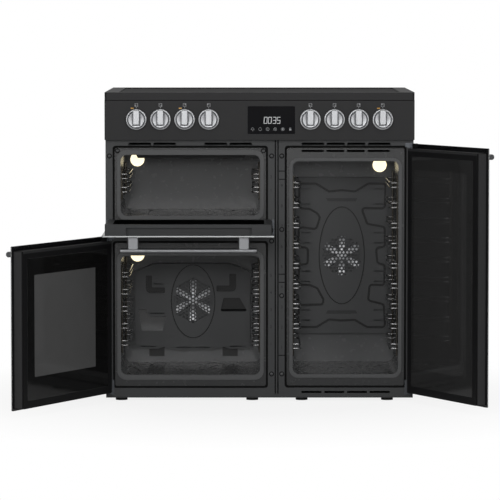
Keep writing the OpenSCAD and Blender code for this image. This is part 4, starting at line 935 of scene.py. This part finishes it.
def makeFan(name, look):
    # vanes spaced evenly round the hub. Each widens from its root by the sine of its length, dishes by
    # that sine too, and has one edge turned back by the lip
    low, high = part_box(name)
    x = ((low[0] + high[0]) / 2 - middleX) / mm
    y = (low[1] - frontY) / mm
    z = (low[2] + high[2]) / 2 / mm
    hub, corner = look["hub"], look["hubRound"]
    shapes = [turned([(0, look["bore"]), (0, hub - corner), (corner, hub), (look["hubLong"], hub)], "y",
                     (x, y, z), 40)]
    reach = np.linspace(hub - look["inside"], look["rim"], look["steps"])
    part = (reach - reach[0]) / (reach[-1] - reach[0])
    half, t, lip = look["vane"] / 2, look["sheet"], look["lip"]
    for k in range(look["vanes"]):
        a = math.radians(look["turned"] + 360 / look["vanes"] * k)
        along, side = np.array([math.cos(a), math.sin(a)]), np.array([-math.sin(a), math.cos(a)])
        rings = []
        for q, u in zip(reach, part):
            grown = math.sin(math.pi * min(1.0, look["start"] + u) / 2)
            w = half * (look["root"] + (1 - look["root"]) * grown)
            back = look["dish"] * math.sin(math.pi * u)
            section = [(-w, back), (w - t, back), (w, back + t), (w, back + lip), (w - t, back + lip),
                       (w - t, back + 2 * t), (w - 2 * t, back + t), (-w, back + t)]
            rings.append([(x + along[0] * q + side[0] * s, y + d, z + along[1] * q + side[1] * s)
                          for s, d in section])
        shapes.append(loft(rings))
    piece = addPiece(name + "_wheel", *gather(shapes), fanSteel, name + "_wheel", "bright_steel")
    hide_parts(name)


for name in ("main_fan", "tall_fan"):
    makeFan(name, fanLook)
print("fans done")


# Seams and trims: painted shade as dark sheets in the channels round the windows, beside the middle
# strip and in its cuts, and in the panel's top seam; the hob's dark back edge and the lower lips of the
# cooling slots

seamLook = {"panel": {"z": 881, "high": 2.0, "side": 0.5, "skin": 0.2},
            "rear": {"deep": 26, "high": 0.3, "side": 2, "back": 0.5},
            "channel": {"out": 0.6, "in": 5.6, "outR": 9.6, "inR": 6, "y": (-0.1, 1.4)},
            "windows": ((-427.7, 24.3, 518.2, 747.6), (-427.7, 24.3, 39, 469.4), (74, 428, 40.1, 747.6)),
            "middle": {"x": ((44.4, 47.8), (52.2, 55.8)), "z": (22, 765), "skin": 0.15},
            "cut": {"high": 3.0, "skin": 0.3},
            "lip": {"z": (748.7, 750.3), "side": 0.4, "y": (0.0, 1.4)},
            "slots": ((-382, -316.25), (-309.25, -243.5), (-160.5, -94.75), (-87.75, -22),
                      (122.5, 188.75), (195.75, 248.75), (255.75, 308.75), (315.75, 382))}
# dark blocks over the upper hinges, drawn where the open doors hold them
hingeLook = {"main_door": (-460, -445, 469, 483.5), "tall_door": (445, 460, 737, 755), "y": (-20, -11)}


def makeTrims(look):
    low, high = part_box("hob_frame")
    x0, x1 = (low[0] - middleX) / mm, (high[0] - middleX) / mm
    y0, y1 = (low[1] - frontY) / mm, (high[1] - frontY) / mm
    top = high[2] / mm
    panel, rear = look["panel"], look["rear"]
    half = panel["high"] / 2
    # painted shade: a dark line in the seam at the panel's top
    line = slab(box(x0 + panel["side"], x1 - panel["side"], panel["z"] - half, panel["z"] + half),
                y0 - panel["skin"], y0)
    addPiece("panel_seam_shade", *line, seamShadow, "body", "panel_paint")
    edge = slab(box(x0 + rear["side"], x1 - rear["side"], top - rear["high"], top), y1 - rear["deep"],
                y1 - rear["back"])
    addPiece("rear_trim", *edge, seamShadow, "body", "panel_paint")


def makeSeams(look):
    channel, middle, cut, lip = look["channel"], look["middle"], look["cut"], look["lip"]
    out, deep = channel["out"], channel["in"]
    rings = []
    # painted shade: a dark ring over the channel round each window
    for x0, x1, z0, z1 in look["windows"]:
        rings.append(ringSlab(roundBox(x0 - out, x1 + out, z0 - out, z1 + out, channel["outR"]),
                              roundBox(x0 + deep, x1 - deep, z0 + deep, z1 - deep, channel["inR"]),
                              *channel["y"]))
    addPiece("window_channel_shade", *gather(rings), seamShadow, "body", "front_frame_paint")
    # painted shade: dark lines beside the middle strip and in its cuts
    lines = [slab(box(*side, *middle["z"]), -middle["skin"], 0.0) for side in middle["x"]]
    half = cut["high"] / 2
    for z in stripLook["cuts"][1:-1]:
        lines.append(slab(box(*stripLook["x"], z - half, z + half), -cut["skin"], 0.0))
    addPiece("middle_seam_shade", *gather(lines), seamShadow, "body", "front_frame_paint")
    lips = [slab(box(a - lip["side"], b + lip["side"], *lip["z"]), *lip["y"]) for a, b in look["slots"]]
    addPiece("slot_lips", *gather(lips), frameSteel, "body", "front_frame_paint")


def makeHingeBlocks(look):
    for door in ("main_door", "tall_door"):
        addPiece(door + "_hinge_block", *slab(box(*look[door]), *look["y"]), seamShadow, door,
                 "door_frame_paint")


makeTrims(seamLook)
makeSeams(seamLook)
makeHingeBlocks(hingeLook)
print("seams done")
